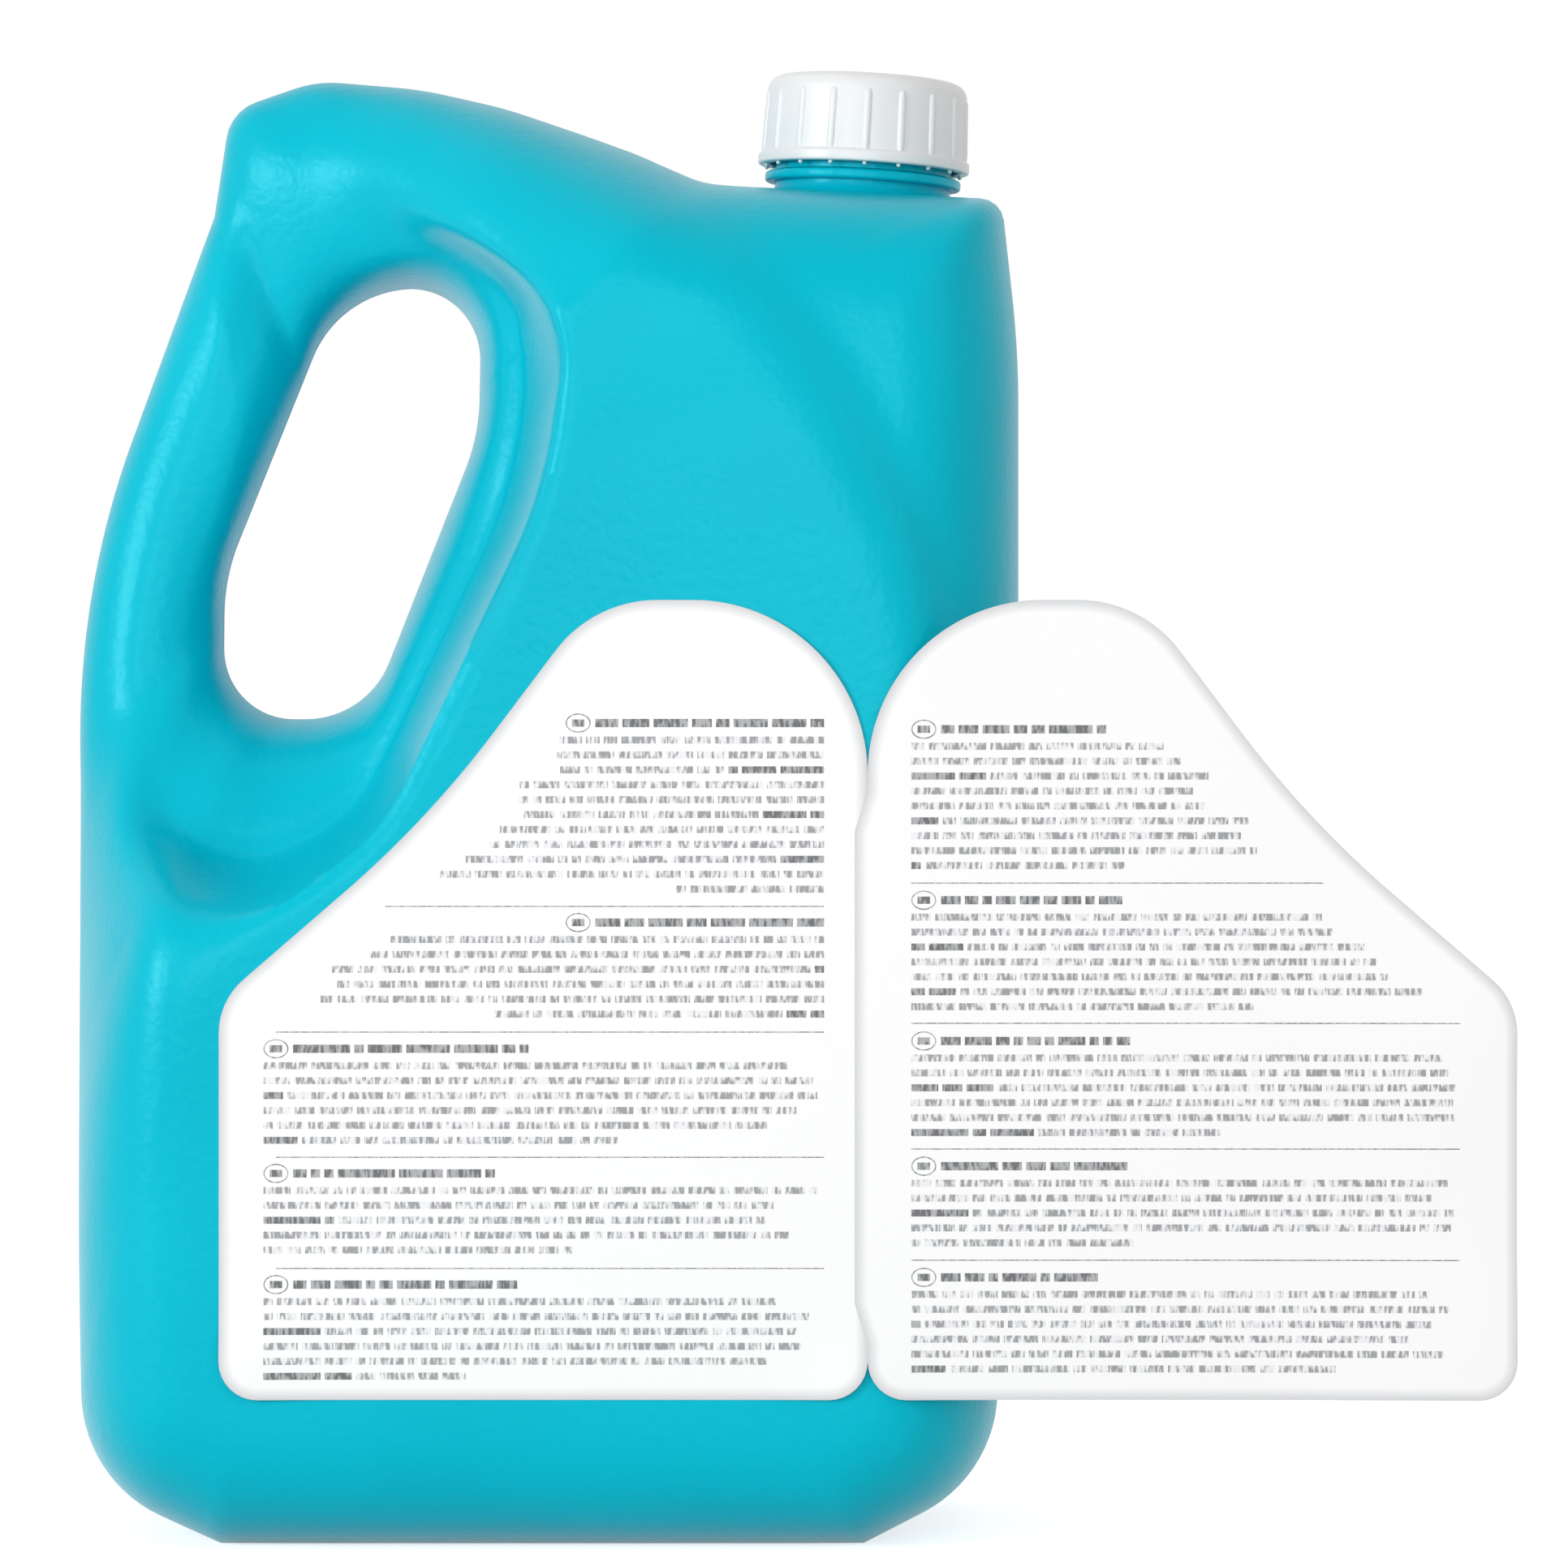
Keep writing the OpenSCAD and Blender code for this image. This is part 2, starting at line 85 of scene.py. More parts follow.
# Corners as x, z, radius. The silhouette adds the flat half width, the reach of its rounding
# and the half depth, and the foot of the slope adds the half depth there.
silhouette = [
    (-half_base, 0, 0, base_flat, edge_reach, half_d),
    (half_base, 0, 0, base_flat, edge_reach, half_d),
    (half_w - 4.5, 12.7, heel_r, side_flat, edge_reach, half_d),
    (half_w, 182, 100, side_flat, edge_reach, half_d),
    (half_w, shoulder_h - 30, 200, side_flat, edge_reach, half_d),
    (half_w - 3.2, shoulder_h, 5, side_flat - 3, edge_reach + 1, half_d - 1),
    (half_w - 3.2 - shoulder_run, shoulder_top, 3, 18, edge_reach, half_d - 1),
    (-half_w + 111.5, crown_h - 15.3, 60, 12, edge_reach + 1, half_d - 8),
    (-half_w + 85.5, crown_h - 5.9, 80, 6, edge_reach + 1, half_d - 19),
    (-half_w + 68.5, crown_h - 1.9, 80, 5, edge_reach - 2, half_grip + 12),
    (-half_w + 47.3, crown_h, 23, 4, edge_reach - 5, half_grip + 3),
    (-half_w + 30, crown_h - 6, 9, 4, 14, half_grip),
    (-half_w + 26.8, crown_h - 27.2, 0, 4, 13, half_grip),
    (-half_w - 0.9, hole_z + 25, 170, 4, 12, half_grip),
    (-half_w + 0.2, hole_z - 11.6, 0, 5, 13, half_grip + 1),
    (-half_w + 1.2, root_z, 0, side_flat - 9, edge_reach, half_d),
    (-half_w + 1.9, 0.6 * root_z, 0, side_flat, edge_reach, half_d),
    (-half_w + 2.7, 11.7, heel_r, side_flat, edge_reach, half_d),
]
finger_hole = [
    (hole_left + 51, hole_z + 0.66 * hole_h, 40),
    (hole_left + 51.6, hole_top, 14),
    (hole_left + 23.3, hole_top, 22),
    (hole_left, hole_z + 0.33 * hole_h, 40),
    (hole_left - 0.2, hole_z, 14),
    (hole_left + 28.5, hole_z, 18),
]
slope_foot = [
    (hole_left + 59.5, hole_top - 40, 90, recess_half - 1),
    (hole_left + 60, hole_top - 4, 14, recess_half + 3),
    (hole_left + 51, hole_top + 6, 18, recess_half + 2),
    (hole_left + 15, hole_top + 10, 14, half_grip + 1),
    (hole_left + 5, hole_top - 15, 80, half_grip - 0.5),
    (hole_left - 10, hole_z + 11, 90, half_grip - 0.5),
    (hole_left - 14, hole_z - 36, 18, recess_half + 3),
    (hole_left + 27, hole_z - 19, 26, recess_half),
]
slope_crest = [
    (hole_left + 66, hole_top - 43, 90),
    (hole_left + 71.5, hole_top - 7, 22),
    (hole_left + 29, hole_top + 20, 50),
    (hole_left + 5, hole_top + 27.5, 8),
    (hole_left - 1, hole_top - 15, 80),
    (hole_left - 17, hole_z + 11, 90),
    (hole_left - 24, hole_z - 66, 24),
    (hole_left + 35, hole_z - 22, 40),
]
# The curved step beside the label panel lies between two arcs (x, z, radius), and is never
# narrower than its least width. It fades in along X.
sweep_inner = (-half_w + 0.8, 131, 164.5)
sweep_outer = (-half_w + 46.6, 144.8, 131.9)
sweep_start, sweep_run, sweep_width, sweep_curve = -38, 46, 16, 2.6


def corner_points(before, at, after, step):
    """Points of one rounded corner."""
    before, here, after = (np.array(p[:2], float) for p in (before, at, after))
    radius = at[2]
    if radius <= 0:
        return here[None, :]
    u, v = before - here, after - here
    u, v = u / np.linalg.norm(u), v / np.linalg.norm(v)
    half = math.acos(float(np.clip(u @ v, -1, 1))) / 2
    turn = math.pi - 2 * half
    middle = here + (u + v) / np.linalg.norm(u + v) * radius / math.sin(half)
    arm = here + u * radius / math.tan(half) - middle
    way = -math.copysign(1, u[0] * v[1] - u[1] * v[0])
    count = max(4, math.ceil(turn * radius / step))
    angles = way * turn * np.arange(count + 1) / count
    cos, sin = np.cos(angles), np.sin(angles)
    return middle + np.stack([arm[0] * cos - arm[1] * sin, arm[0] * sin + arm[1] * cos], 1)


def outline(corners, step):
    """Closed outline through rounded corners, with the corners' values spread along it."""
    arcs = [corner_points(corners[i - 1], c, corners[(i + 1) % len(corners)], step)
            for i, c in enumerate(corners)]
    points, marks, values, length = [], [], [], 0.0
    for i, arc in enumerate(arcs):
        following = arcs[(i + 1) % len(arcs)][0]
        gap = following - arc[-1]
        count = max(1, math.ceil(np.linalg.norm(gap) / step))
        straight = arc[-1] + gap * (np.arange(1, count) / count)[:, None]
        arc_length = np.linalg.norm(np.diff(arc, axis=0), axis=1).sum()
        marks.append(length + arc_length / 2)
        values.append(corners[i][3:])
        points.append(np.vstack([arc, straight]))
        length += arc_length + np.linalg.norm(gap)
    points = np.vstack(points)
    steps = np.linalg.norm(np.diff(points, axis=0, append=points[:1]), axis=1)
    along = np.concatenate([[0], np.cumsum(steps)[:-1]])
    columns = [np.interp(along, marks, column, period=length) for column in zip(*values)]
    return np.column_stack([points] + columns)


def seen_from_hole(line, angles):
    """Where rays from the middle of the finger hole meet an outline, with its values."""
    arm = line[:, :2] - hole_mid
    turn = np.arctan2(arm[:, 1], arm[:, 0])
    order = np.argsort(turn)
    columns = [np.linalg.norm(arm, axis=1)] + list(line[:, 2:].T)
    found = [np.interp(angles, turn[order], c[order], period=2 * math.pi) for c in columns]
    way = np.stack([np.cos(angles), np.sin(angles)], 1)
    return np.column_stack([hole_mid + way * found[0][:, None]] + found[1:])


def ease(t):
    """Smooth step from 0 to 1."""
    t = np.clip(t, 0, 1)
    return t * t * (3 - 2 * t)


def gap_to(line, points):
    """Distance of each point from a closed outline."""
    flat = points.reshape(-1, 2)
    best = np.full(len(flat), np.inf)
    for a, b in zip(line[:, :2], np.roll(line[:, :2], -1, axis=0)):
        edge = b - a
        t = np.clip((flat - a) @ edge / max(edge @ edge, 1e-12), 0, 1)
        best = np.minimum(best, np.linalg.norm(flat - a - t[:, None] * edge, axis=1))
    return best.reshape(points.shape[:-1])


def past_arc(points, arc):
    """How far points lie outside an arc that runs on straight down below its middle."""
    x = points[..., 0] - arc[0]
    z = np.maximum(points[..., 1] - arc[1], 0)
    return np.hypot(x, z) - arc[2]


def sweep(points):
    """Depth of the curved step, which fades out on the crown where its arcs cross."""
    a, b = past_arc(points, sweep_inner), past_arc(points, sweep_outer)
    share = np.clip(a / np.maximum(a - b, sweep_width), 0, 1)
    return sweep_step * share ** sweep_curve * ease((points[..., 0] - sweep_start) / sweep_run)


def even(values, rays):
    """Smooths values between neighbouring rays, all round the closed outline."""
    width = np.arange(-3 * rays, 3 * rays + 1)
    weights = np.exp(-(width / rays) ** 2)
    weights /= weights.sum()
    return sum(w * np.roll(values, k, axis=0) for k, w in zip(width, weights))


# Jug: skin
# Rows of points run round the hole and columns across the wall's section. The back half
# is the mirror image of the front, as the two halves of the mould are.
ray_step, fine_step = 2.3, 1.0
hole_rows, slope_rows, side_rows, edge_rows = 12, 14, 24, 16
flat_parts = (0.9, 0.8, 0.66, 0.33, 0)

edge_line = outline(silhouette, ray_step)
edge_line[:, 2:] = even(edge_line[:, 2:], 5)
arm = edge_line[:, :2] - hole_mid
angles = np.arctan2(arm[:, 1], arm[:, 0])
way = arm / np.linalg.norm(arm, axis=1)[:, None]
hole_edge = seen_from_hole(outline(finger_hole, fine_step), angles)
foot = seen_from_hole(outline(slope_foot, fine_step), angles)
crest = seen_from_hole(outline(slope_crest, fine_step), angles)
outer, flat, reach, depth = edge_line[:, :2], *(c[:, None] for c in edge_line[:, 2:].T)
foot_depth = even(foot[:, 2:], 6)


def broad_side(points):
    """Half depth at points that lie on the rays, rounded off towards the silhouette."""
    away = 1 - np.minimum(gap_to(edge_line, points) / reach, 1)
    return flat + (depth - sweep(points) - flat) * np.sqrt(1 - away * away)


def ray_points(start, end, parts):
    """Points between two ends of every ray, at the given parts of the way."""
    return start[:, None, :] + (end - start)[:, None, :] * parts[:, None]


top = broad_side(crest[:, None, :2])
low = np.minimum(foot_depth, 0.92 * top)
round_span = np.minimum(1.15 * reach[:, 0], 0.7 * np.linalg.norm(outer - crest[:, :2], axis=1))
side_end = outer - way * round_span[:, None]

turn = np.radians(90) * np.arange(hole_rows + 1) / hole_rows
part = 1 - np.cos(turn)
hole_part = ray_points(hole_edge[:, :2], foot[:, :2], part)
hole_depth = low * np.sin(turn)

part = np.arange(1, slope_rows + 1) / slope_rows
slope_part = ray_points(foot[:, :2], crest[:, :2], part)
slope_depth = low + (top - low) * part * part * (2 - part)

part = (np.arange(1, side_rows + 1) / side_rows) ** 1.3
side_part = ray_points(crest[:, :2], side_end, part)

turn = np.radians(90) * (1 - np.arange(1, edge_rows + 1) / edge_rows)
edge_part = outer[:, None, :] - way[:, None, :] * (round_span[:, None] * (1 - np.cos(turn)))[..., None]

flat_part = np.repeat(outer[:, None, :], len(flat_parts), axis=1)
plan = np.concatenate([hole_part, slope_part, side_part, edge_part, flat_part], axis=1)
across = np.concatenate([hole_depth, slope_depth, broad_side(side_part), broad_side(edge_part),
                         flat * np.array(flat_parts)], axis=1)

# The blown wall has no sharp bends. The slope's foot and crest are rounded a little, and the
# grip, its top and its root much more. A soft spot is x, z and how far it spreads.
grip_top, grip_root, crown_foot = (-60, 272, 26), (-87, 112, 24), (14, 258, 24)
bend_spread, top_spread, grip_spread, root_spread = 1.3, 9, 6, 9
grip_right, grip_fade, grip_foot, grip_rise = hole_left + 6, 12, hole_z - 30, 25
edge_fade, root_edge_fade = 9, 3
all_rays, root_rays, crown_rays = 2, 7, 5
inside = slice(1, hole_rows + slope_rows + side_rows + edge_rows)


def near(spot, strength):
    """How much of the evened shape the points round a soft spot take."""
    x, z, spread = spot
    weight = np.exp(-((plan[..., 0] - x) ** 2 + (plan[..., 1] - z) ** 2) / spread ** 2)
    return np.clip(strength * weight, 0, 1)


def even_along(values, spread):
    """Evens out the depth along every ray, over a distance given for every point."""
    spans = np.maximum(np.linalg.norm(np.diff(plan[:, :values.shape[1]], axis=1), axis=2), 0.01)
    pull = spread[:, 1:-1] ** 2 / (spans[:, :-1] + spans[:, 1:])
    before, after = pull / spans[:, :-1], pull / spans[:, 1:]
    system = np.tile(np.eye(values.shape[1]), (len(values), 1, 1))
    row = np.arange(1, values.shape[1] - 1)
    system[:, row, row] += before + after
    system[:, row, row - 1] -= before
    system[:, row, row + 1] -= after
    return np.linalg.solve(system, values[..., None])[..., 0]


grip_side = ease((grip_right - plan[..., 0]) / grip_fade) * ease((plan[..., 1] - grip_foot) / grip_rise)
from_hole = np.linalg.norm(plan - hole_edge[:, None, :2], axis=2)
from_edge = np.linalg.norm(plan - outer[:, None, :], axis=2)
off_edges = ease(from_hole / edge_fade) * ease(from_edge / edge_fade)
root_side = near(grip_root, 1.6)
spread = bend_spread + off_edges * np.maximum(top_spread * near(grip_top, 1.4), grip_spread * grip_side)
spread = np.maximum(spread, root_spread * root_side * ease(from_edge / root_edge_fade))
rounded = slice(0, inside.stop)
across[:, inside] = even(across, all_rays)[:, inside]
across[:, rounded] = even_along(across[:, rounded], spread[:, rounded])
across[:, inside] += (root_side * (even(across, root_rays) - across))[:, inside]
joining = near(crown_foot, 1.5)
across[:, inside] += (joining * (even(across, crown_rays) - across))[:, inside]
plan[:, inside] += (joining[..., None] * (even(plan, crown_rays) - plan))[:, inside]

raised = (push_up * ease((half_base - stand_ring - np.abs(plan[..., 0])) / push_ramp)
          * ease((base_flat - stand_ring - across) / push_ramp))
under = (plan[..., 1] < 0.01)
under[:, :-len(flat_parts)] = False
height = plan[..., 1] + np.where(under, raised, 0)
half_skin = np.stack([plan[..., 0], across, height], axis=2)
mirrored = half_skin[:, -2:0:-1] * np.array([1, -1, 1])
skin = np.concatenate([half_skin, mirrored], axis=1)


def ring_faces(rings, across_count):
    """Quads of a closed surface whose rings form a loop."""
    i, j = np.meshgrid(np.arange(rings), np.arange(across_count), indexing="ij")
    after_i, after_j = (i + 1) % rings, (j + 1) % across_count
    corners = [i * across_count + j, after_i * across_count + j,
               after_i * across_count + after_j, i * across_count + after_j]
    return np.stack(corners, axis=2).reshape(-1, 4)


def add_piece(name, points, faces, sharp=40):
    """Mesh object from points in millimetres, smooth but for edges sharper than an angle."""
    mesh = bpy.data.meshes.new(name)
    mesh.from_pydata((np.asarray(points, float) * MM).tolist(), [], [list(map(int, f)) for f in faces])
    mesh.validate()
    work = bmesh.new()
    work.from_mesh(mesh)
    bmesh.ops.recalc_face_normals(work, faces=work.faces)
    work.to_mesh(mesh)
    work.free()
    piece = bpy.data.objects.new(name, mesh)
    bpy.context.collection.objects.link(piece)
    smooth(piece, sharp)
    return piece


def smooth(piece, sharp):
    """Smooth shading, with edges sharper than the angle kept."""
    piece.data.shade_smooth()
    piece.data.set_sharp_from_angle(angle=math.radians(sharp))


def combine(piece, tool, operation, sharp=40):
    """Joins a second solid to a piece or cuts it away, and removes the second solid."""
    step = piece.modifiers.new("combine", "BOOLEAN")
    step.operation = operation
    step.solver = "MANIFOLD"
    step.object = tool
    depsgraph = bpy.context.evaluated_depsgraph_get()
    done = bpy.data.meshes.new_from_object(piece.evaluated_get(depsgraph))
    piece.modifiers.clear()
    piece.data = done
    bpy.data.objects.remove(tool)
    smooth(piece, sharp)


jug = add_piece("jug_body", skin.reshape(-1, 3), ring_faces(len(skin), skin.shape[1]))
jug_tree = BVHTree.FromPolygons([v.co for v in jug.data.vertices],
                                [tuple(f.vertices) for f in jug.data.polygons])

# Jug: neck
# It grows out of the leaning shoulder: a flared root, the ring that stopped the tamper band,
# and a right-hand thread. The bore opens into the hollow body.
neck_x, neck_z = half_w - 30.6, shoulder_h + 27.4 * math.tan(math.radians(pour_tilt))
neck_r, bore_r, neck_h = 17.6, 15.2, 21.5
ring_r, ring_z, ring_t = 19.65, 3.0, 2.0
thread_depth, thread_foot, thread_crest, pitch = 1.1, 2.2, 1.0, 4.233
thread_turns, thread_gap, thread_sink = 1.25, 0.3, 0.25
thread_z = ring_z + ring_t + 6.2
wall = 1.2
neck_frame = (Matrix.Translation((neck_x * MM, 0, neck_z * MM))
              @ Matrix.Rotation(math.radians(pour_tilt), 4, "Y"))


def revolve(name, profile, steps=144, sharp=40):
    """Solid of revolution round Z from a profile of (radius, height) that starts and ends on Z."""
    profile = np.asarray(profile, float)
    turn = 2 * math.pi * np.arange(steps) / steps
    rings = np.stack([profile[None, :, 0] * np.cos(turn)[:, None],
                      profile[None, :, 0] * np.sin(turn)[:, None],
                      np.repeat(profile[None, :, 1], steps, axis=0)], axis=2)
    count = len(profile)
    faces = ring_faces(steps, count).reshape(steps, count, 4)[:, :-1].reshape(-1, 4)
    piece = add_piece(name, rings.reshape(-1, 3), faces, sharp)
    work = bmesh.new()
    work.from_mesh(piece.data)
    bmesh.ops.remove_doubles(work, verts=work.verts, dist=1e-7)
    bmesh.ops.recalc_face_normals(work, faces=work.faces)
    work.to_mesh(piece.data)
    work.free()
    smooth(piece, sharp)
    return piece


def arc(middle, radius, start, end, count=8):
    """Points of an arc in a profile, with angles in degrees."""
    turn = np.radians(np.linspace(start, end, count))
    return [(middle[0] + radius * math.cos(a), middle[1] + radius * math.sin(a)) for a in turn]


def thread(name, wall_r, out, z):
    """A right-hand thread on the outside (out = 1) or the inside (out = -1) of a wall."""
    per_turn, fade_steps, least_rise, bevel = 90, 8, 0.1, 0.15
    steps = round(thread_turns * per_turn)
    rings = []
    for k in range(steps + 1):
        a = 2 * math.pi * k / per_turn
        full = float(ease(min(k, steps - k) / fade_steps))
        foot_r = wall_r - out * thread_sink
        crest_r = foot_r + out * (least_rise + (thread_sink + thread_depth - least_rise) * full)
        mid_r = crest_r - out * bevel
        shape = [(foot_r, -thread_foot / 2), (mid_r, -thread_crest / 2 - bevel),
                 (crest_r, -thread_crest / 2 + bevel), (crest_r, thread_crest / 2 - bevel),
                 (mid_r, thread_crest / 2 + bevel), (foot_r, thread_foot / 2)]
        rise = z + pitch * a / (2 * math.pi)
        rings.append([(r * math.cos(a), r * math.sin(a), rise + h) for r, h in shape])
    count = len(rings[0])
    faces = [(k * count + j, k * count + (j + 1) % count, (k + 1) * count + (j + 1) % count,
              (k + 1) * count + j) for k in range(steps) for j in range(count)]
    last = steps * count
    faces += [tuple(range(count)), tuple(last + j for j in reversed(range(count)))]
    return add_piece(name, np.array(rings).reshape(-1, 3), faces, 30)


root, flare_r, edge_r = 6, 2.4, 0.6
neck_profile = ([(0, -root), (neck_r + 4, -root), (neck_r + 4, -2.2)]
                + arc((neck_r + flare_r, flare_r), flare_r, 250, 180)
                + [(neck_r, ring_z), (ring_r - 0.9, ring_z)]
                + arc((ring_r - edge_r, ring_z + edge_r), edge_r, 270, 360, 5)
                + arc((ring_r - edge_r, ring_z + ring_t - edge_r), edge_r, 0, 90, 5)
                + [(ring_r - 1.2, ring_z + ring_t), (neck_r, ring_z + ring_t + 0.4)]
                + arc((neck_r - edge_r, neck_h - edge_r), edge_r, 0, 90, 5) + [(0, neck_h)])
neck = revolve("neck", neck_profile)
combine(neck, thread("neck_thread", neck_r, 1, thread_z), "UNION")
neck.data.transform(neck_frame)
combine(jug, neck, "UNION")

normal_along = np.roll(skin, -1, axis=0) - np.roll(skin, 1, axis=0)
normal_across = np.roll(skin, -1, axis=1) - np.roll(skin, 1, axis=1)
normal = np.cross(normal_along, normal_across)
normal /= np.maximum(np.linalg.norm(normal, axis=2, keepdims=True), 1e-9)
thinner = (skin - wall * normal)[:, ::3]
for i, j in np.ndindex(thinner.shape[:2]):
    found, facing, _, _ = jug_tree.find_nearest(Vector(thinner[i, j] * MM))
    depth_in = (found - Vector(thinner[i, j] * MM)).dot(facing) / MM
    if depth_in < 0.5 * wall:
        thinner[i, j] -= np.array(facing) * (0.5 * wall - depth_in)
cavity = add_piece("cavity", thinner.reshape(-1, 3), ring_faces(len(thinner), thinner.shape[1]))
bore_ends = -root - 2, neck_h + 2
bore = revolve("bore", [(0, bore_ends[0]), (bore_r, bore_ends[0]),
                        (bore_r, bore_ends[1]), (0, bore_ends[1])])
bore.data.transform(neck_frame)
combine(cavity, bore, "UNION")
combine(jug, cavity, "DIFFERENCE", 34)


# Jug: finish
# Satin turquoise polyethylene, with the orange-peel skin that the sand-blasted mould leaves
# and the faint parting line all round.
def new_material(name):
    """A material, its node tree and its shader."""
    material = bpy.data.materials.new(name)
    material.use_nodes = True
    tree = material.node_tree
    return material, tree, tree.nodes["Principled BSDF"]


def node(tree, kind, **settings):
    """Adds a node. A setting named with a capital is one of the node's inputs."""
    made = tree.nodes.new(kind)
    for key, value in settings.items():
        if key[0].isupper():
            made.inputs[key.replace("_", " ")].default_value = value
        else:
            setattr(made, key, value)
    return made


def linear(red, green, blue):
    """Colour for a shader from sRGB values of 0 to 255."""
    parts = [c / 255 for c in (red, green, blue)]
    return [p / 12.92 if p <= 0.04045 else ((p + 0.055) / 1.055) ** 2.4 for p in parts] + [1]


teal, tree, shader = new_material("turquoise_polyethylene")
place = node(tree, "ShaderNodeTexCoord")
tint = node(tree, "ShaderNodeTexNoise", Scale=14.0, Detail=3.0)
shades = node(tree, "ShaderNodeValToRGB")
shades.color_ramp.elements[0].position = 0.3
shades.color_ramp.elements[0].color = linear(0, 175, 196)
shades.color_ramp.elements[1].position = 0.7
shades.color_ramp.elements[1].color = linear(0, 183, 204)
peel = node(tree, "ShaderNodeTexNoise", Scale=560.0, Detail=1.0, Roughness=0.4)
gloss = node(tree, "ShaderNodeMapRange", To_Min=0.29, To_Max=0.36)
bump = node(tree, "ShaderNodeBump", Strength=0.17, Distance=0.0006)
axis = node(tree, "ShaderNodeSeparateXYZ")
off_seam = node(tree, "ShaderNodeMath", operation="ABSOLUTE")
seam = node(tree, "ShaderNodeMapRange", From_Min=0.0, From_Max=0.0005, To_Min=1.0, To_Max=0.0)
seam_bump = node(tree, "ShaderNodeBump", Strength=0.5, Distance=0.0003)
link = tree.links.new
link(place.outputs["Object"], tint.inputs["Vector"])
link(place.outputs["Object"], peel.inputs["Vector"])
link(place.outputs["Object"], axis.inputs["Vector"])
link(tint.outputs["Fac"], shades.inputs["Fac"])
link(shades.outputs["Color"], shader.inputs["Base Color"])
link(tint.outputs["Fac"], gloss.inputs["Value"])
link(gloss.outputs["Result"], shader.inputs["Roughness"])
link(axis.outputs["Y"], off_seam.inputs[0])
link(off_seam.outputs[0], seam.inputs["Value"])
link(seam.outputs["Result"], seam_bump.inputs["Height"])
link(peel.outputs["Fac"], bump.inputs["Height"])
link(seam_bump.outputs["Normal"], bump.inputs["Normal"])
link(bump.outputs["Normal"], shader.inputs["Normal"])
shader.inputs["IOR"].default_value = 1.5
shader.inputs["Specular IOR Level"].default_value = 0.28
shader.inputs["Specular Tint"].default_value = (0.25, 0.9, 1, 1)

jug.data.materials.clear()
jug.data.materials.append(teal)
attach(jug, "container")
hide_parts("jug")

# Cap
# Injection-moulded white polypropylene: a thin shell with a bead round its rim, 18 grip
# ribs, the stubs of the torn-off tamper band, and a thread inside. It turns on the neck.
cap_wall, cap_top, cap_gap, cap_round = 1.5, 1.7, 1.4, 3.0
cap_draft, bead_h, bead_out, bead_round = 0.5, 2.6, 0.7, 0.5
liner_t, liner_gap = 1.0, 0.06
rib_count, rib_r, rib_out, rib_margin = 18, 0.9, 0.5, 3.0
stub_r, stub_h = 0.45, 0.7
cap_z = ring_z + ring_t + cap_gap
cap_in_r = neck_r + thread_depth + thread_gap
cap_r = cap_in_r + cap_wall
cap_seat = neck_h + liner_t + 2 * liner_gap
cap_h = cap_seat + cap_top - cap_z

cap_profile = ([(0, cap_h - cap_top), (cap_in_r, cap_h - cap_top), (cap_in_r, 0.3),
                (cap_in_r + 0.3, 0.0)]
               + arc((cap_r + bead_out - bead_round, bead_round), bead_round, 270, 360, 6)
               + arc((cap_r + bead_out - bead_round, bead_h - 0.8), bead_round, 0, 65, 5)
               + [(cap_r, bead_h)]
               + arc((cap_r - cap_draft - cap_round, cap_h - cap_round), cap_round, 0, 90, 14)
               + [(0, cap_h)])
cap = revolve("screw_cap", cap_profile, 180, 30)


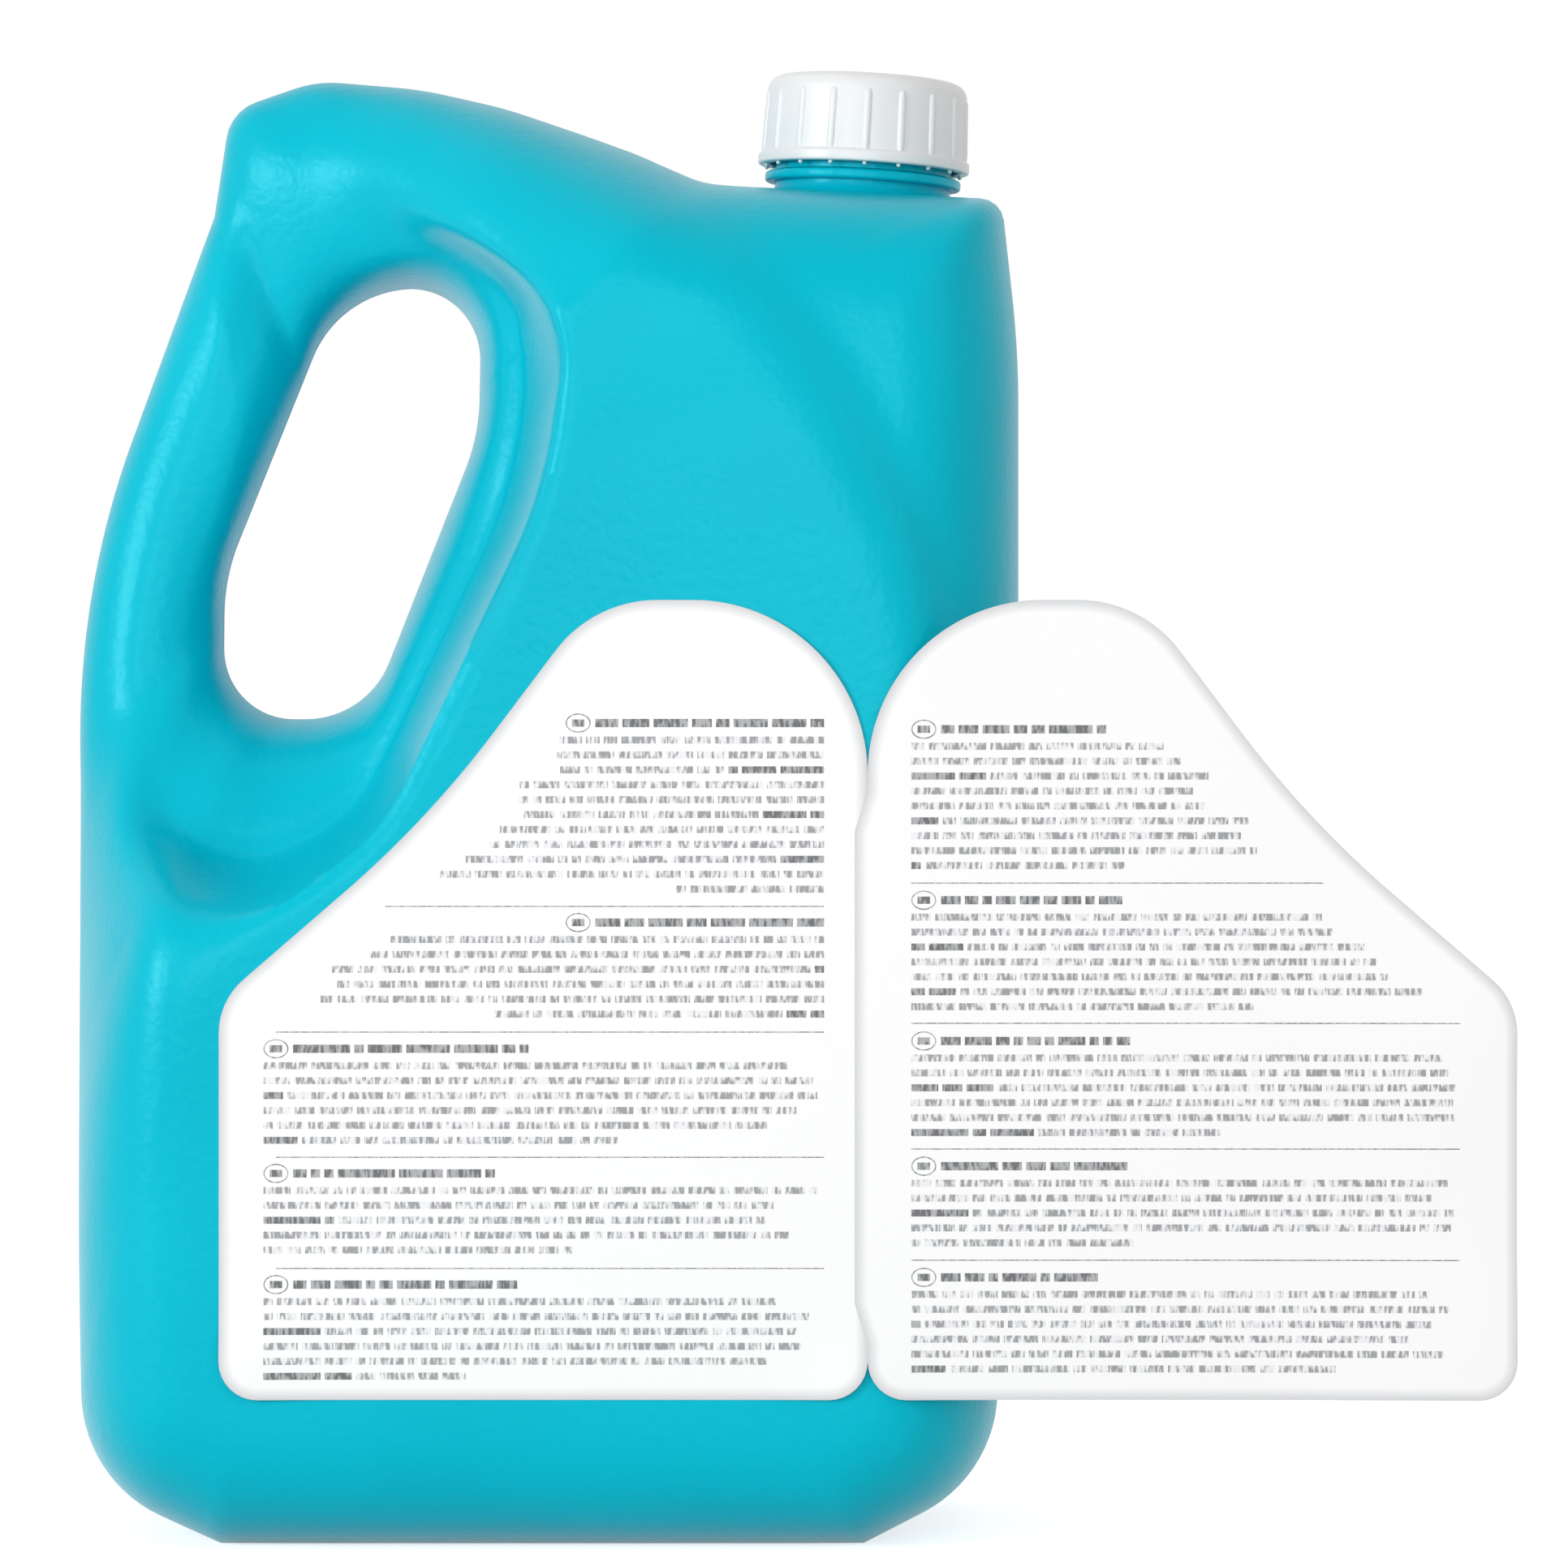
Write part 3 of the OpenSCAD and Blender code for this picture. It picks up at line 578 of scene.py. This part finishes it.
def ring_of_rods(name, material):
    """Node tree for round-ended rods that stand in a ring round Z."""
    group = bpy.data.node_groups.new(name, "GeometryNodeTree")
    sockets = {}
    for label, kind in (("Count", "NodeSocketInt"), ("Low radius", "NodeSocketFloat"),
                        ("High radius", "NodeSocketFloat"), ("Rod radius", "NodeSocketFloat"),
                        ("Low", "NodeSocketFloat"), ("High", "NodeSocketFloat"),
                        ("Roundness", "NodeSocketFloat")):
        sockets[label] = group.interface.new_socket(label, in_out="INPUT", socket_type=kind).identifier
    group.interface.new_socket("Geometry", in_out="OUTPUT", socket_type="NodeSocketGeometry")
    join = group.links.new
    given = node(group, "NodeGroupInput")
    result = node(group, "NodeGroupOutput")
    low = node(group, "ShaderNodeCombineXYZ")
    high = node(group, "ShaderNodeCombineXYZ")
    line = node(group, "GeometryNodeCurvePrimitiveLine")
    cut = node(group, "GeometryNodeResampleCurve", Count=25)
    along = node(group, "GeometryNodeSplineParameter")
    centred = node(group, "ShaderNodeMath", operation="MULTIPLY_ADD")
    centred.inputs[1].default_value = 2.0
    centred.inputs[2].default_value = -1.0
    size = node(group, "ShaderNodeMath", operation="ABSOLUTE")
    power = node(group, "ShaderNodeMath", operation="POWER")
    rest = node(group, "ShaderNodeMath", operation="SUBTRACT")
    rest.inputs[0].default_value = 1.0
    root_of = node(group, "ShaderNodeMath", operation="SQRT")
    least = node(group, "ShaderNodeMath", operation="MAXIMUM")
    least.inputs[1].default_value = 0.05
    shape = node(group, "GeometryNodeCurvePrimitiveCircle", Resolution=16)
    scaled = node(group, "ShaderNodeMath", operation="MULTIPLY")
    tube = node(group, "GeometryNodeCurveToMesh", Fill_Caps=True)
    spots = node(group, "GeometryNodePoints")
    index = node(group, "GeometryNodeInputIndex")
    share = node(group, "ShaderNodeMath", operation="DIVIDE")
    shifted = node(group, "ShaderNodeMath", operation="ADD")
    shifted.inputs[1].default_value = 0.5
    angle = node(group, "ShaderNodeMath", operation="MULTIPLY")
    angle.inputs[1].default_value = 2 * math.pi
    turn = node(group, "ShaderNodeCombineXYZ")
    copies = node(group, "GeometryNodeInstanceOnPoints")
    real = node(group, "GeometryNodeRealizeInstances")
    finish = node(group, "GeometryNodeSetMaterial", Material=material)
    join(given.outputs["Low radius"], low.inputs["X"])
    join(given.outputs["Low"], low.inputs["Z"])
    join(given.outputs["High radius"], high.inputs["X"])
    join(given.outputs["High"], high.inputs["Z"])
    join(low.outputs[0], line.inputs["Start"])
    join(high.outputs[0], line.inputs["End"])
    join(line.outputs["Curve"], cut.inputs["Curve"])
    join(along.outputs["Factor"], centred.inputs[0])
    join(centred.outputs[0], size.inputs[0])
    join(size.outputs[0], power.inputs[0])
    join(given.outputs["Roundness"], power.inputs[1])
    join(power.outputs[0], rest.inputs[1])
    join(rest.outputs[0], root_of.inputs[0])
    join(root_of.outputs[0], least.inputs[0])
    join(least.outputs[0], scaled.inputs[0])
    join(given.outputs["Rod radius"], scaled.inputs[1])
    join(scaled.outputs[0], tube.inputs["Scale"])
    join(cut.outputs["Curve"], tube.inputs["Curve"])
    shape.inputs["Radius"].default_value = 1.0
    join(shape.outputs["Curve"], tube.inputs["Profile Curve"])
    join(given.outputs["Count"], spots.inputs["Count"])
    join(index.outputs[0], shifted.inputs[0])
    join(shifted.outputs[0], share.inputs[0])
    join(given.outputs["Count"], share.inputs[1])
    join(share.outputs[0], angle.inputs[0])
    join(angle.outputs[0], turn.inputs["Z"])
    join(spots.outputs[0], copies.inputs["Points"])
    join(tube.outputs["Mesh"], copies.inputs["Instance"])
    join(turn.outputs[0], copies.inputs["Rotation"])
    join(copies.outputs[0], real.inputs["Geometry"])
    join(real.outputs[0], finish.inputs["Geometry"])
    join(finish.outputs[0], result.inputs[0])
    return group, sockets


def grown(name, group, sockets, sizes, spots=None):
    """Runs a node tree with the given sizes and returns its result as a plain mesh object."""
    carrier = bpy.data.objects.new(name, spots or bpy.data.meshes.new(name))
    bpy.context.collection.objects.link(carrier)
    step = carrier.modifiers.new("grow", "NODES")
    step.node_group = group
    for label, value in sizes.items():
        step[sockets[label]] = value
    depsgraph = bpy.context.evaluated_depsgraph_get()
    mesh = bpy.data.meshes.new_from_object(carrier.evaluated_get(depsgraph))
    carrier.modifiers.clear()
    carrier.data = mesh
    return carrier


white, tree, shader = new_material("white_polypropylene")
place = node(tree, "ShaderNodeTexCoord")
cloud = node(tree, "ShaderNodeTexNoise", Scale=60.0, Detail=2.0)
shades = node(tree, "ShaderNodeValToRGB")
shades.color_ramp.elements[0].color = linear(224, 224, 225)
shades.color_ramp.elements[1].color = linear(231, 231, 231)
grain = node(tree, "ShaderNodeTexNoise", Scale=900.0, Detail=2.0)
bump = node(tree, "ShaderNodeBump", Strength=0.06, Distance=0.0003)
link = tree.links.new
link(place.outputs["Object"], cloud.inputs["Vector"])
link(place.outputs["Object"], grain.inputs["Vector"])
link(cloud.outputs["Fac"], shades.inputs["Fac"])
link(shades.outputs["Color"], shader.inputs["Base Color"])
link(grain.outputs["Fac"], bump.inputs["Height"])
link(bump.outputs["Normal"], shader.inputs["Normal"])
shader.inputs["Roughness"].default_value = 0.34
shader.inputs["Subsurface Weight"].default_value = 0.08
shader.inputs["Subsurface Radius"].default_value = (0.002, 0.002, 0.002)

rods, sockets = ring_of_rods("ring_of_rods", white)
lean = cap_draft / (cap_h - bead_h - cap_round)
rib_low, rib_high = bead_h - rib_r, cap_h - rib_margin
rib_ring = cap_r + rib_out - rib_r
ribs = grown("ribs", rods, sockets, {
    "Count": rib_count, "Low radius": rib_ring * MM,
    "High radius": (rib_ring - lean * (rib_high - rib_low)) * MM, "Rod radius": rib_r * MM,
    "Low": rib_low * MM, "High": rib_high * MM, "Roundness": 12.0})
stub_ring = (cap_in_r + cap_wall / 2) * MM
stubs = grown("stubs", rods, sockets, {
    "Count": rib_count, "Low radius": stub_ring, "High radius": stub_ring, "Rod radius": stub_r * MM,
    "Low": -stub_h * MM, "High": bead_h / 2 * MM, "Roundness": 4.0})
combine(cap, ribs, "UNION", 35)
combine(cap, stubs, "UNION", 35)
combine(cap, thread("cap_thread", cap_in_r, -1, thread_z - cap_z + pitch / 2), "UNION", 35)
cap.data.transform(neck_frame @ Matrix.Translation((0, 0, cap_z * MM)))
cap.data.materials.clear()
cap.data.materials.append(white)
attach(cap, "closure")
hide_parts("cap")

# Cap liner
# A disc of closed-cell foam that lies in the cap and seals on the rim of the neck.
liner_r, liner_edge = cap_in_r - 0.4, 0.2
liner = revolve("foam_liner", [(0, 0)]
                + arc((liner_r - liner_edge, liner_edge), liner_edge, 270, 360, 4)
                + arc((liner_r - liner_edge, liner_t - liner_edge), liner_edge, 0, 90, 4)
                + [(0, liner_t)], 96, 30)
liner.data.transform(neck_frame @ Matrix.Translation((0, 0, (neck_h + liner_gap) * MM)))
foam, tree, shader = new_material("liner_foam")
place = node(tree, "ShaderNodeTexCoord")
cells = node(tree, "ShaderNodeTexVoronoi", Scale=1800.0)
bump = node(tree, "ShaderNodeBump", Strength=0.3, Distance=0.0002)
tree.links.new(place.outputs["Object"], cells.inputs["Vector"])
tree.links.new(cells.outputs["Distance"], bump.inputs["Height"])
tree.links.new(bump.outputs["Normal"], shader.inputs["Normal"])
shader.inputs["Base Color"].default_value = linear(236, 236, 230)
shader.inputs["Roughness"].default_value = 0.8
liner.data.materials.append(foam)
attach(liner, "seal")
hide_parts("cap_liner")

# Label pages
# Two plies of white label film, cut to one outline. The lower ply is glued to the panel.
# The upper one is peeled open about the spine, so it is the mirror image of the lower.
label_w, label_h, label_z, label_x = 124.9, 154.0, 30.1, 61.5
label_t, page_r, dome_r, strip_margin, spine_w = 0.15, 7.5, 33.6, 3.0, 2.5
spine_x = label_w - label_x
page_top = label_z + label_h
page_corners = [
    (-label_w, label_z, page_r),
    (0, label_z, page_r),
    (0, page_top, dome_r),
    (-52.7, page_top, 24.5),
    (40.2 - label_w, page_top - 42.4, 200),
    (-label_w, page_top - 77.2, 13.6),
]
page_middle = np.array([-45.0, label_z + 62])


def lifted(x, z, lifts):
    """How far a page stands off the panel. lifts holds x from the spine, z, height, spread."""
    return sum(h * np.exp(-((x - at_x) ** 2 + (z - at_z) ** 2) / s ** 2) for at_x, at_z, h, s in lifts)


def page(name, side, base_y, corners, lifts):
    """A thin sheet with rings of points inside its outline."""
    rim = outline(corners, 1.6)[:, :2]
    parts = np.concatenate([np.linspace(0.04, 0.86, 18), np.linspace(0.88, 1, 12)])
    plan = page_middle + (rim - page_middle)[None, :, :] * parts[:, None, None]
    edge = gap_to(rim, plan)
    lift = lifted(plan[..., 0], plan[..., 1], lifts)
    back = np.stack([spine_x - side * plan[..., 0], -base_y - lift, plan[..., 1]], axis=2)
    front = back - np.array([0, label_t, 0])
    rings, count = plan.shape[:2]
    points = np.concatenate([front.reshape(-1, 3), back.reshape(-1, 3)])
    faces = []
    for offset in (0, rings * count):
        for i in range(rings - 1):
            for j in range(count):
                a, b = offset + i * count + j, offset + i * count + (j + 1) % count
                faces.append((a, b, b + count, a + count))
        faces.append(tuple(offset + j for j in range(count)))
    last = (rings - 1) * count
    for j in range(count):
        a, b = last + j, last + (j + 1) % count
        faces.append((a, b, b + rings * count, a + rings * count))
    sheet = add_piece(name, points, faces, 50)
    # Distance from the outline, which lays the painted shade along the page edges.
    shade = sheet.data.attributes.new("edge_mm", "FLOAT", "POINT")
    shade.data.foreach_set("value", np.concatenate([edge.ravel(), edge.ravel()]))
    return sheet


base_lifts = [(-label_w, label_z, 1.2, 14), (0, label_z, 1.0, 12), (0, page_top - 6, 0.7, 22)]
leaf_lifts = [(-label_w, label_z, 2.4, 30), (0, label_z, 0.9, 12), (0, page_top - 6, 0.9, 24),
              (-label_w, page_top - 77, 1.6, 26)]
strip_low, strip_high = label_z + page_r + strip_margin, page_top - dome_r - strip_margin
strip_slant = 8.0
strip = [(0, strip_low, 0), (spine_w, strip_low + strip_slant, 0),
         (spine_w, strip_high - strip_slant, 0), (0, strip_high, 0)]
label_base = page("label_base_page", -1, half_d, page_corners, base_lifts)
label_leaf = page("label_leaf_page", 1, half_d + label_t,
                  page_corners[:2] + strip + page_corners[2:], leaf_lifts)

film, tree, shader = new_material("label_film")
place = node(tree, "ShaderNodeTexCoord")
# The white film is painted greyer within 3 mm of its outline: painted shade along the page edges.
edge = node(tree, "ShaderNodeAttribute", attribute_name="edge_mm")
edge_shade = node(tree, "ShaderNodeValToRGB")
edge_shade.color_ramp.elements[0].color = linear(206, 207, 209)
edge_shade.color_ramp.elements[1].color = linear(245, 245, 245)
edge_shade.color_ramp.elements[1].position = 0.8
shade_zone = node(tree, "ShaderNodeMapRange", From_Min=0.0, From_Max=3.0)
fibre = node(tree, "ShaderNodeTexNoise", Scale=500.0, Detail=3.0)
bump = node(tree, "ShaderNodeBump", Strength=0.05, Distance=0.0002)
link = tree.links.new
link(edge.outputs["Fac"], shade_zone.inputs["Value"])
link(shade_zone.outputs["Result"], edge_shade.inputs["Fac"])
link(edge_shade.outputs["Color"], shader.inputs["Base Color"])
link(place.outputs["Object"], fibre.inputs["Vector"])
link(fibre.outputs["Fac"], bump.inputs["Height"])
link(bump.outputs["Normal"], shader.inputs["Normal"])
shader.inputs["Roughness"].default_value = 0.55
shader.inputs["Specular IOR Level"].default_value = 0.3

for sheet, name in ((label_base, "label_base"), (label_leaf, "label_leaf")):
    sheet.data.materials.append(film)
    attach(sheet, "container")
    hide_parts(name)

# Label print
# The wording is replaced by plain grey bars in lines, in the places of the printed blocks:
# a heavier heading with an oval ring at one end, lines of words, and a thin rule between.
line_pitch, letter_h, heading_h = 2.87, 1.35, 1.6
word_gap, least_word, heading_gap, rule_h, ink_t = 0.8, 1.2, 0.4, 0.2, 0.02
oval_w, oval_h, oval_line, oval_room = 4.8, 3.7, 0.22, 5.7
badge_w, badge_h = 2.4, 1.4
text_near, text_far, text_margin = 8.4, 116.3, 11.0
word_widths = (1.8, 2.6, 3.8, 5.2, 6.6, 8.4, 11.0)

# One block: height of its heading, number of lines, heading's part of the width, and
# whether its lines start at the page's far edge. Then the heights of the rules.
base_blocks = [(160.4, 11, 0.86, False), (122.0, 6, 0.5, False), (97.7, 6, 0.42, True),
               (73.7, 5, 0.36, True), (52.3, 6, 0.4, True)]
base_rules = [125.1, 100.9, 76.8, 55.4]
leaf_blocks = [(159.2, 9, 0.64, False), (126.3, 7, 0.42, False), (99.2, 6, 0.36, False),
               (75.1, 5, 0.34, False), (53.7, 6, 0.3, False)]
leaf_rules = [129.6, 102.6, 78.4, 57.0]


def page_edge(z):
    """How far the page reaches from its spine at a height."""
    slanted = np.array([corner[:2] for corner in page_corners[:2:-1]])
    return -float(np.interp(z, slanted[:, 1], slanted[:, 0]))


def words(dice, start, stop, z, height, plain, bold=None):
    """Fills a line with bars between two distances from the spine. Its first words are bold
    where a list for bold bars is given."""
    at, way = start, 1 if stop > start else -1
    while way * (stop - at) > least_word:
        width = min(dice.choice(word_widths), way * (stop - at))
        (plain if bold is None else bold).append((at + way * width / 2, z, width, height))
        if bold is not None and dice.random() >= 0.4:
            bold = None
        at += way * (width + word_gap)


def print_bars(seed, side, blocks, rules):
    """Plain bars, bold bars and ovals of a page. A bar is (distance from the spine, z, width,
    height). On the glued page the blocks beside the spine have their ovals at the outer end."""
    dice = random.Random(seed)
    plain, bold, ovals = [], [], []
    for first, lines, heading, from_far in blocks:
        reach = min(page_edge(first) - text_margin, text_far)
        start, way = (text_far, -1) if from_far else (text_near, 1)
        span = (text_far if from_far else reach) - text_near
        stop = start + way * (oval_room + heading * span)
        if side < 0 and not from_far:
            oval, begin, stop = stop - oval_w / 2, start, stop - oval_room
        else:
            oval, begin = start + way * oval_w / 2, start + way * oval_room
        ovals.append((oval, first))
        words(dice, begin, stop, first, heading_h, bold)
        for row in range(1, lines + 1):
            z = first - heading_gap - row * line_pitch
            reach = min(page_edge(z) - text_margin, text_far)
            end = text_near if from_far else reach
            part = dice.uniform(0.3, 0.8) if row == lines else dice.uniform(0.88, 1)
            words(dice, start, start + (end - start) * part, z, letter_h, plain,
                  bold if row % 3 == 0 else None)
    for z in rules:
        reach = min(page_edge(z) - text_margin, text_far)
        bold.append(((text_near + reach) / 2, z, reach - text_near, rule_h))
    return plain, bold, ovals


def bar_tree(name):
    """Node tree that puts a thin bar on every point, as wide and high as its attribute says."""
    group = bpy.data.node_groups.new(name, "GeometryNodeTree")
    new_socket = group.interface.new_socket
    sockets = {}
    for label, kind in (("Geometry", "NodeSocketGeometry"), ("Thickness", "NodeSocketFloat"),
                        ("Ink", "NodeSocketMaterial")):
        sockets[label] = new_socket(label, in_out="INPUT", socket_type=kind).identifier
    new_socket("Geometry", in_out="OUTPUT", socket_type="NodeSocketGeometry")
    given = node(group, "NodeGroupInput")
    result = node(group, "NodeGroupOutput")
    size = node(group, "GeometryNodeInputNamedAttribute", data_type="FLOAT_VECTOR", Name="bar_size")
    parts = node(group, "ShaderNodeSeparateXYZ")
    whole = node(group, "ShaderNodeCombineXYZ")
    bar = node(group, "GeometryNodeMeshCube", Size=(1, 1, 1), Vertices_X=6)
    copies = node(group, "GeometryNodeInstanceOnPoints")
    real = node(group, "GeometryNodeRealizeInstances")
    finish = node(group, "GeometryNodeSetMaterial")
    join = group.links.new
    join(size.outputs["Attribute"], parts.inputs[0])
    join(parts.outputs["X"], whole.inputs["X"])
    join(given.outputs["Thickness"], whole.inputs["Y"])
    join(parts.outputs["Z"], whole.inputs["Z"])
    join(given.outputs["Geometry"], copies.inputs["Points"])
    join(bar.outputs["Mesh"], copies.inputs["Instance"])
    join(whole.outputs[0], copies.inputs["Scale"])
    join(copies.outputs[0], real.inputs["Geometry"])
    join(real.outputs[0], finish.inputs["Geometry"])
    join(given.outputs["Ink"], finish.inputs["Material"])
    join(finish.outputs[0], result.inputs[0])
    return group, sockets


def lay_on_page(piece, side, base_y, lifts):
    """Moves flat print, drawn at distances from the spine, on to a page and its lifts."""
    place = np.empty(len(piece.data.vertices) * 3)
    piece.data.vertices.foreach_get("co", place)
    place = place.reshape(-1, 3)
    away, z = -place[:, 0] / MM, place[:, 2] / MM
    surface = base_y + label_t + lifted(-away, z, lifts)
    laid = np.column_stack([(spine_x + side * away) * MM, place[:, 1] - surface * MM, place[:, 2]])
    piece.data.vertices.foreach_set("co", laid.ravel())
    work = bmesh.new()
    work.from_mesh(piece.data)
    bmesh.ops.recalc_face_normals(work, faces=work.faces)
    work.to_mesh(piece.data)
    work.free()
    piece.data.update()


def ink(name, dark, light):
    """Grey ink whose strength varies along a line as a row of strokes does."""
    material, tree, shader = new_material(name)
    place = node(tree, "ShaderNodeTexCoord")
    squeeze = node(tree, "ShaderNodeMapping", Scale=(1900, 300, 420))
    strokes = node(tree, "ShaderNodeTexNoise", Scale=1.0, Detail=1.0)
    shades = node(tree, "ShaderNodeValToRGB")
    shades.color_ramp.elements[0].position = 0.42
    shades.color_ramp.elements[0].color = dark
    shades.color_ramp.elements[1].position = 0.58
    shades.color_ramp.elements[1].color = light
    tree.links.new(place.outputs["Object"], squeeze.inputs["Vector"])
    tree.links.new(squeeze.outputs["Vector"], strokes.inputs["Vector"])
    tree.links.new(strokes.outputs["Fac"], shades.inputs["Fac"])
    tree.links.new(shades.outputs["Color"], shader.inputs["Base Color"])
    shader.inputs["Roughness"].default_value = 0.6
    shader.inputs["Specular IOR Level"].default_value = 0.2
    return material


def oval_ring(middle, height):
    """Points and faces of a flat closed ring round an ellipse."""
    steps = 40
    turn = 2 * math.pi * np.arange(steps) / steps
    rings = []
    for inset, y in ((0, 0), (0, -ink_t), (oval_line, -ink_t), (oval_line, 0)):
        rings.append(np.column_stack([-middle + (oval_w / 2 - inset) * np.cos(turn), np.full(steps, y),
                                      height + (oval_h / 2 - inset) * np.sin(turn)]))
    points = np.stack(rings, axis=1).reshape(-1, 3)
    return points, ring_faces(steps, 4)


light_ink = ink("grey_ink", linear(158, 159, 161), linear(236, 236, 238))
heavy_ink = ink("dark_grey_ink", linear(112, 113, 115), linear(176, 177, 179))
bars_group, bars_sockets = bar_tree("printed_bars")
pages = (("base", 3, -1, half_d, base_lifts, base_blocks, base_rules),
         ("leaf", 8, 1, half_d + label_t, leaf_lifts, leaf_blocks, leaf_rules))
for page_name, seed, side, base_y, lifts, blocks, rules in pages:
    light, heavy, ovals = print_bars(seed, side, blocks, rules)
    heavy += [(x, z, badge_w, badge_h) for x, z in ovals]
    for weight, bars, material in (("light", light, light_ink), ("heavy", heavy, heavy_ink)):
        spots = bpy.data.meshes.new("spots")
        spots.from_pydata([(-x * MM, -ink_t / 2 * MM, z * MM) for x, z, w, h in bars], [], [])
        widths = spots.attributes.new("bar_size", "FLOAT_VECTOR", "POINT")
        widths.data.foreach_set("vector", [v for x, z, w, h in bars for v in (w * MM, 0, h * MM)])
        lines = grown(f"{page_name}_{weight}_print", bars_group, bars_sockets,
                      {"Thickness": ink_t * MM, "Ink": material}, spots)
        lay_on_page(lines, side, base_y, lifts)
        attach(lines, "container")
    points, faces = [], []
    for x, z in ovals:
        ring_points, ring = oval_ring(x, z)
        faces += (ring + sum(len(p) for p in points)).tolist()
        points.append(ring_points)
    rings = add_piece(f"{page_name}_ovals", np.vstack(points), faces, 30)
    rings.data.materials.append(heavy_ink)
    lay_on_page(rings, side, base_y, lifts)
    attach(rings, "container")

# Floor and backdrop
# A pale floor that takes the jug's shadow. The rays that the camera sees get a little more
# white from it, so that it meets the white behind without a line.
def ray_is_seen(tree):
    """Adds nodes that give 1 for rays of the camera, of a reflection or through a film."""
    rays = node(tree, "ShaderNodeLightPath")
    glossy = node(tree, "ShaderNodeMath", operation="MAXIMUM")
    seen = node(tree, "ShaderNodeMath", operation="MAXIMUM")
    tree.links.new(rays.outputs["Is Camera Ray"], glossy.inputs[0])
    tree.links.new(rays.outputs["Is Glossy Ray"], glossy.inputs[1])
    tree.links.new(glossy.outputs[0], seen.inputs[0])
    tree.links.new(rays.outputs["Is Transmission Ray"], seen.inputs[1])
    return seen.outputs[0]


floor_mesh = bpy.data.meshes.new("floor")
floor_mesh.from_pydata([(-6, -6, 0), (6, -6, 0), (6, 6, 0), (-6, 6, 0)], [], [(0, 1, 2, 3)])
floor = bpy.data.objects.new("floor", floor_mesh)
bpy.context.collection.objects.link(floor)
pale, tree, shader = new_material("pale_floor")
shader.inputs["Base Color"].default_value = (0.7, 0.7, 0.7, 1)
shader.inputs["Roughness"].default_value = 0.9
shader.inputs["Specular IOR Level"].default_value = 0
added = node(tree, "ShaderNodeMath", operation="MULTIPLY")
added.inputs[1].default_value = 0.72
tree.links.new(ray_is_seen(tree), added.inputs[0])
tree.links.new(added.outputs[0], shader.inputs["Emission Strength"])
shader.inputs["Emission Color"].default_value = (1, 1, 1, 1)
floor_mesh.materials.append(pale)

# Light
# A soft key light from the left at a little above the jug, a weak one from the right, and two
# from the front that lay a sheen on the panel. The even pale surround is white only where the
# camera or a reflection sees it.
def soft_light(name, place, target, size, power):
    """A square lamp that looks at a point. Places and sizes are in metres."""
    data = bpy.data.lights.new(name, "AREA")
    data.shape = "SQUARE"
    data.size = size
    data.energy = power
    lamp = bpy.data.objects.new(name, data)
    lamp.location = place
    lamp.rotation_euler = (Vector(target) - Vector(place)).to_track_quat("-Z", "Y").to_euler()
    bpy.context.collection.objects.link(lamp)


jug_middle = (0.03, 0, 0.15)
soft_light("key", (-1.35, -1.05, 0.5), jug_middle, 0.45, 12.5)
soft_light("side", (1.3, -1.3, 0.9), jug_middle, 0.9, 1.5)
soft_light("front", (-0.62, -2.1, 0.55), jug_middle, 0.45, 6.5)
soft_light("upper", (0.1, -1.55, 0.33), (0.05, 0, 0.22), 0.14, 2.2)

world = bpy.data.worlds.new("surround")
bpy.context.scene.world = world
world.use_nodes = True
tree = world.node_tree
plain = tree.nodes["Background"]
plain.inputs["Color"].default_value = (1, 1, 1, 1)
plain.inputs["Strength"].default_value = 0.6
white_back = node(tree, "ShaderNodeBackground", Color=(1, 1, 1, 1), Strength=1.0)
choice = node(tree, "ShaderNodeMixShader")
tree.links.new(ray_is_seen(tree), choice.inputs["Fac"])
tree.links.new(plain.outputs[0], choice.inputs[1])
tree.links.new(white_back.outputs[0], choice.inputs[2])
tree.links.new(choice.outputs[0], tree.nodes["World Output"].inputs["Surface"])
bpy.context.scene.view_settings.view_transform = "Standard"
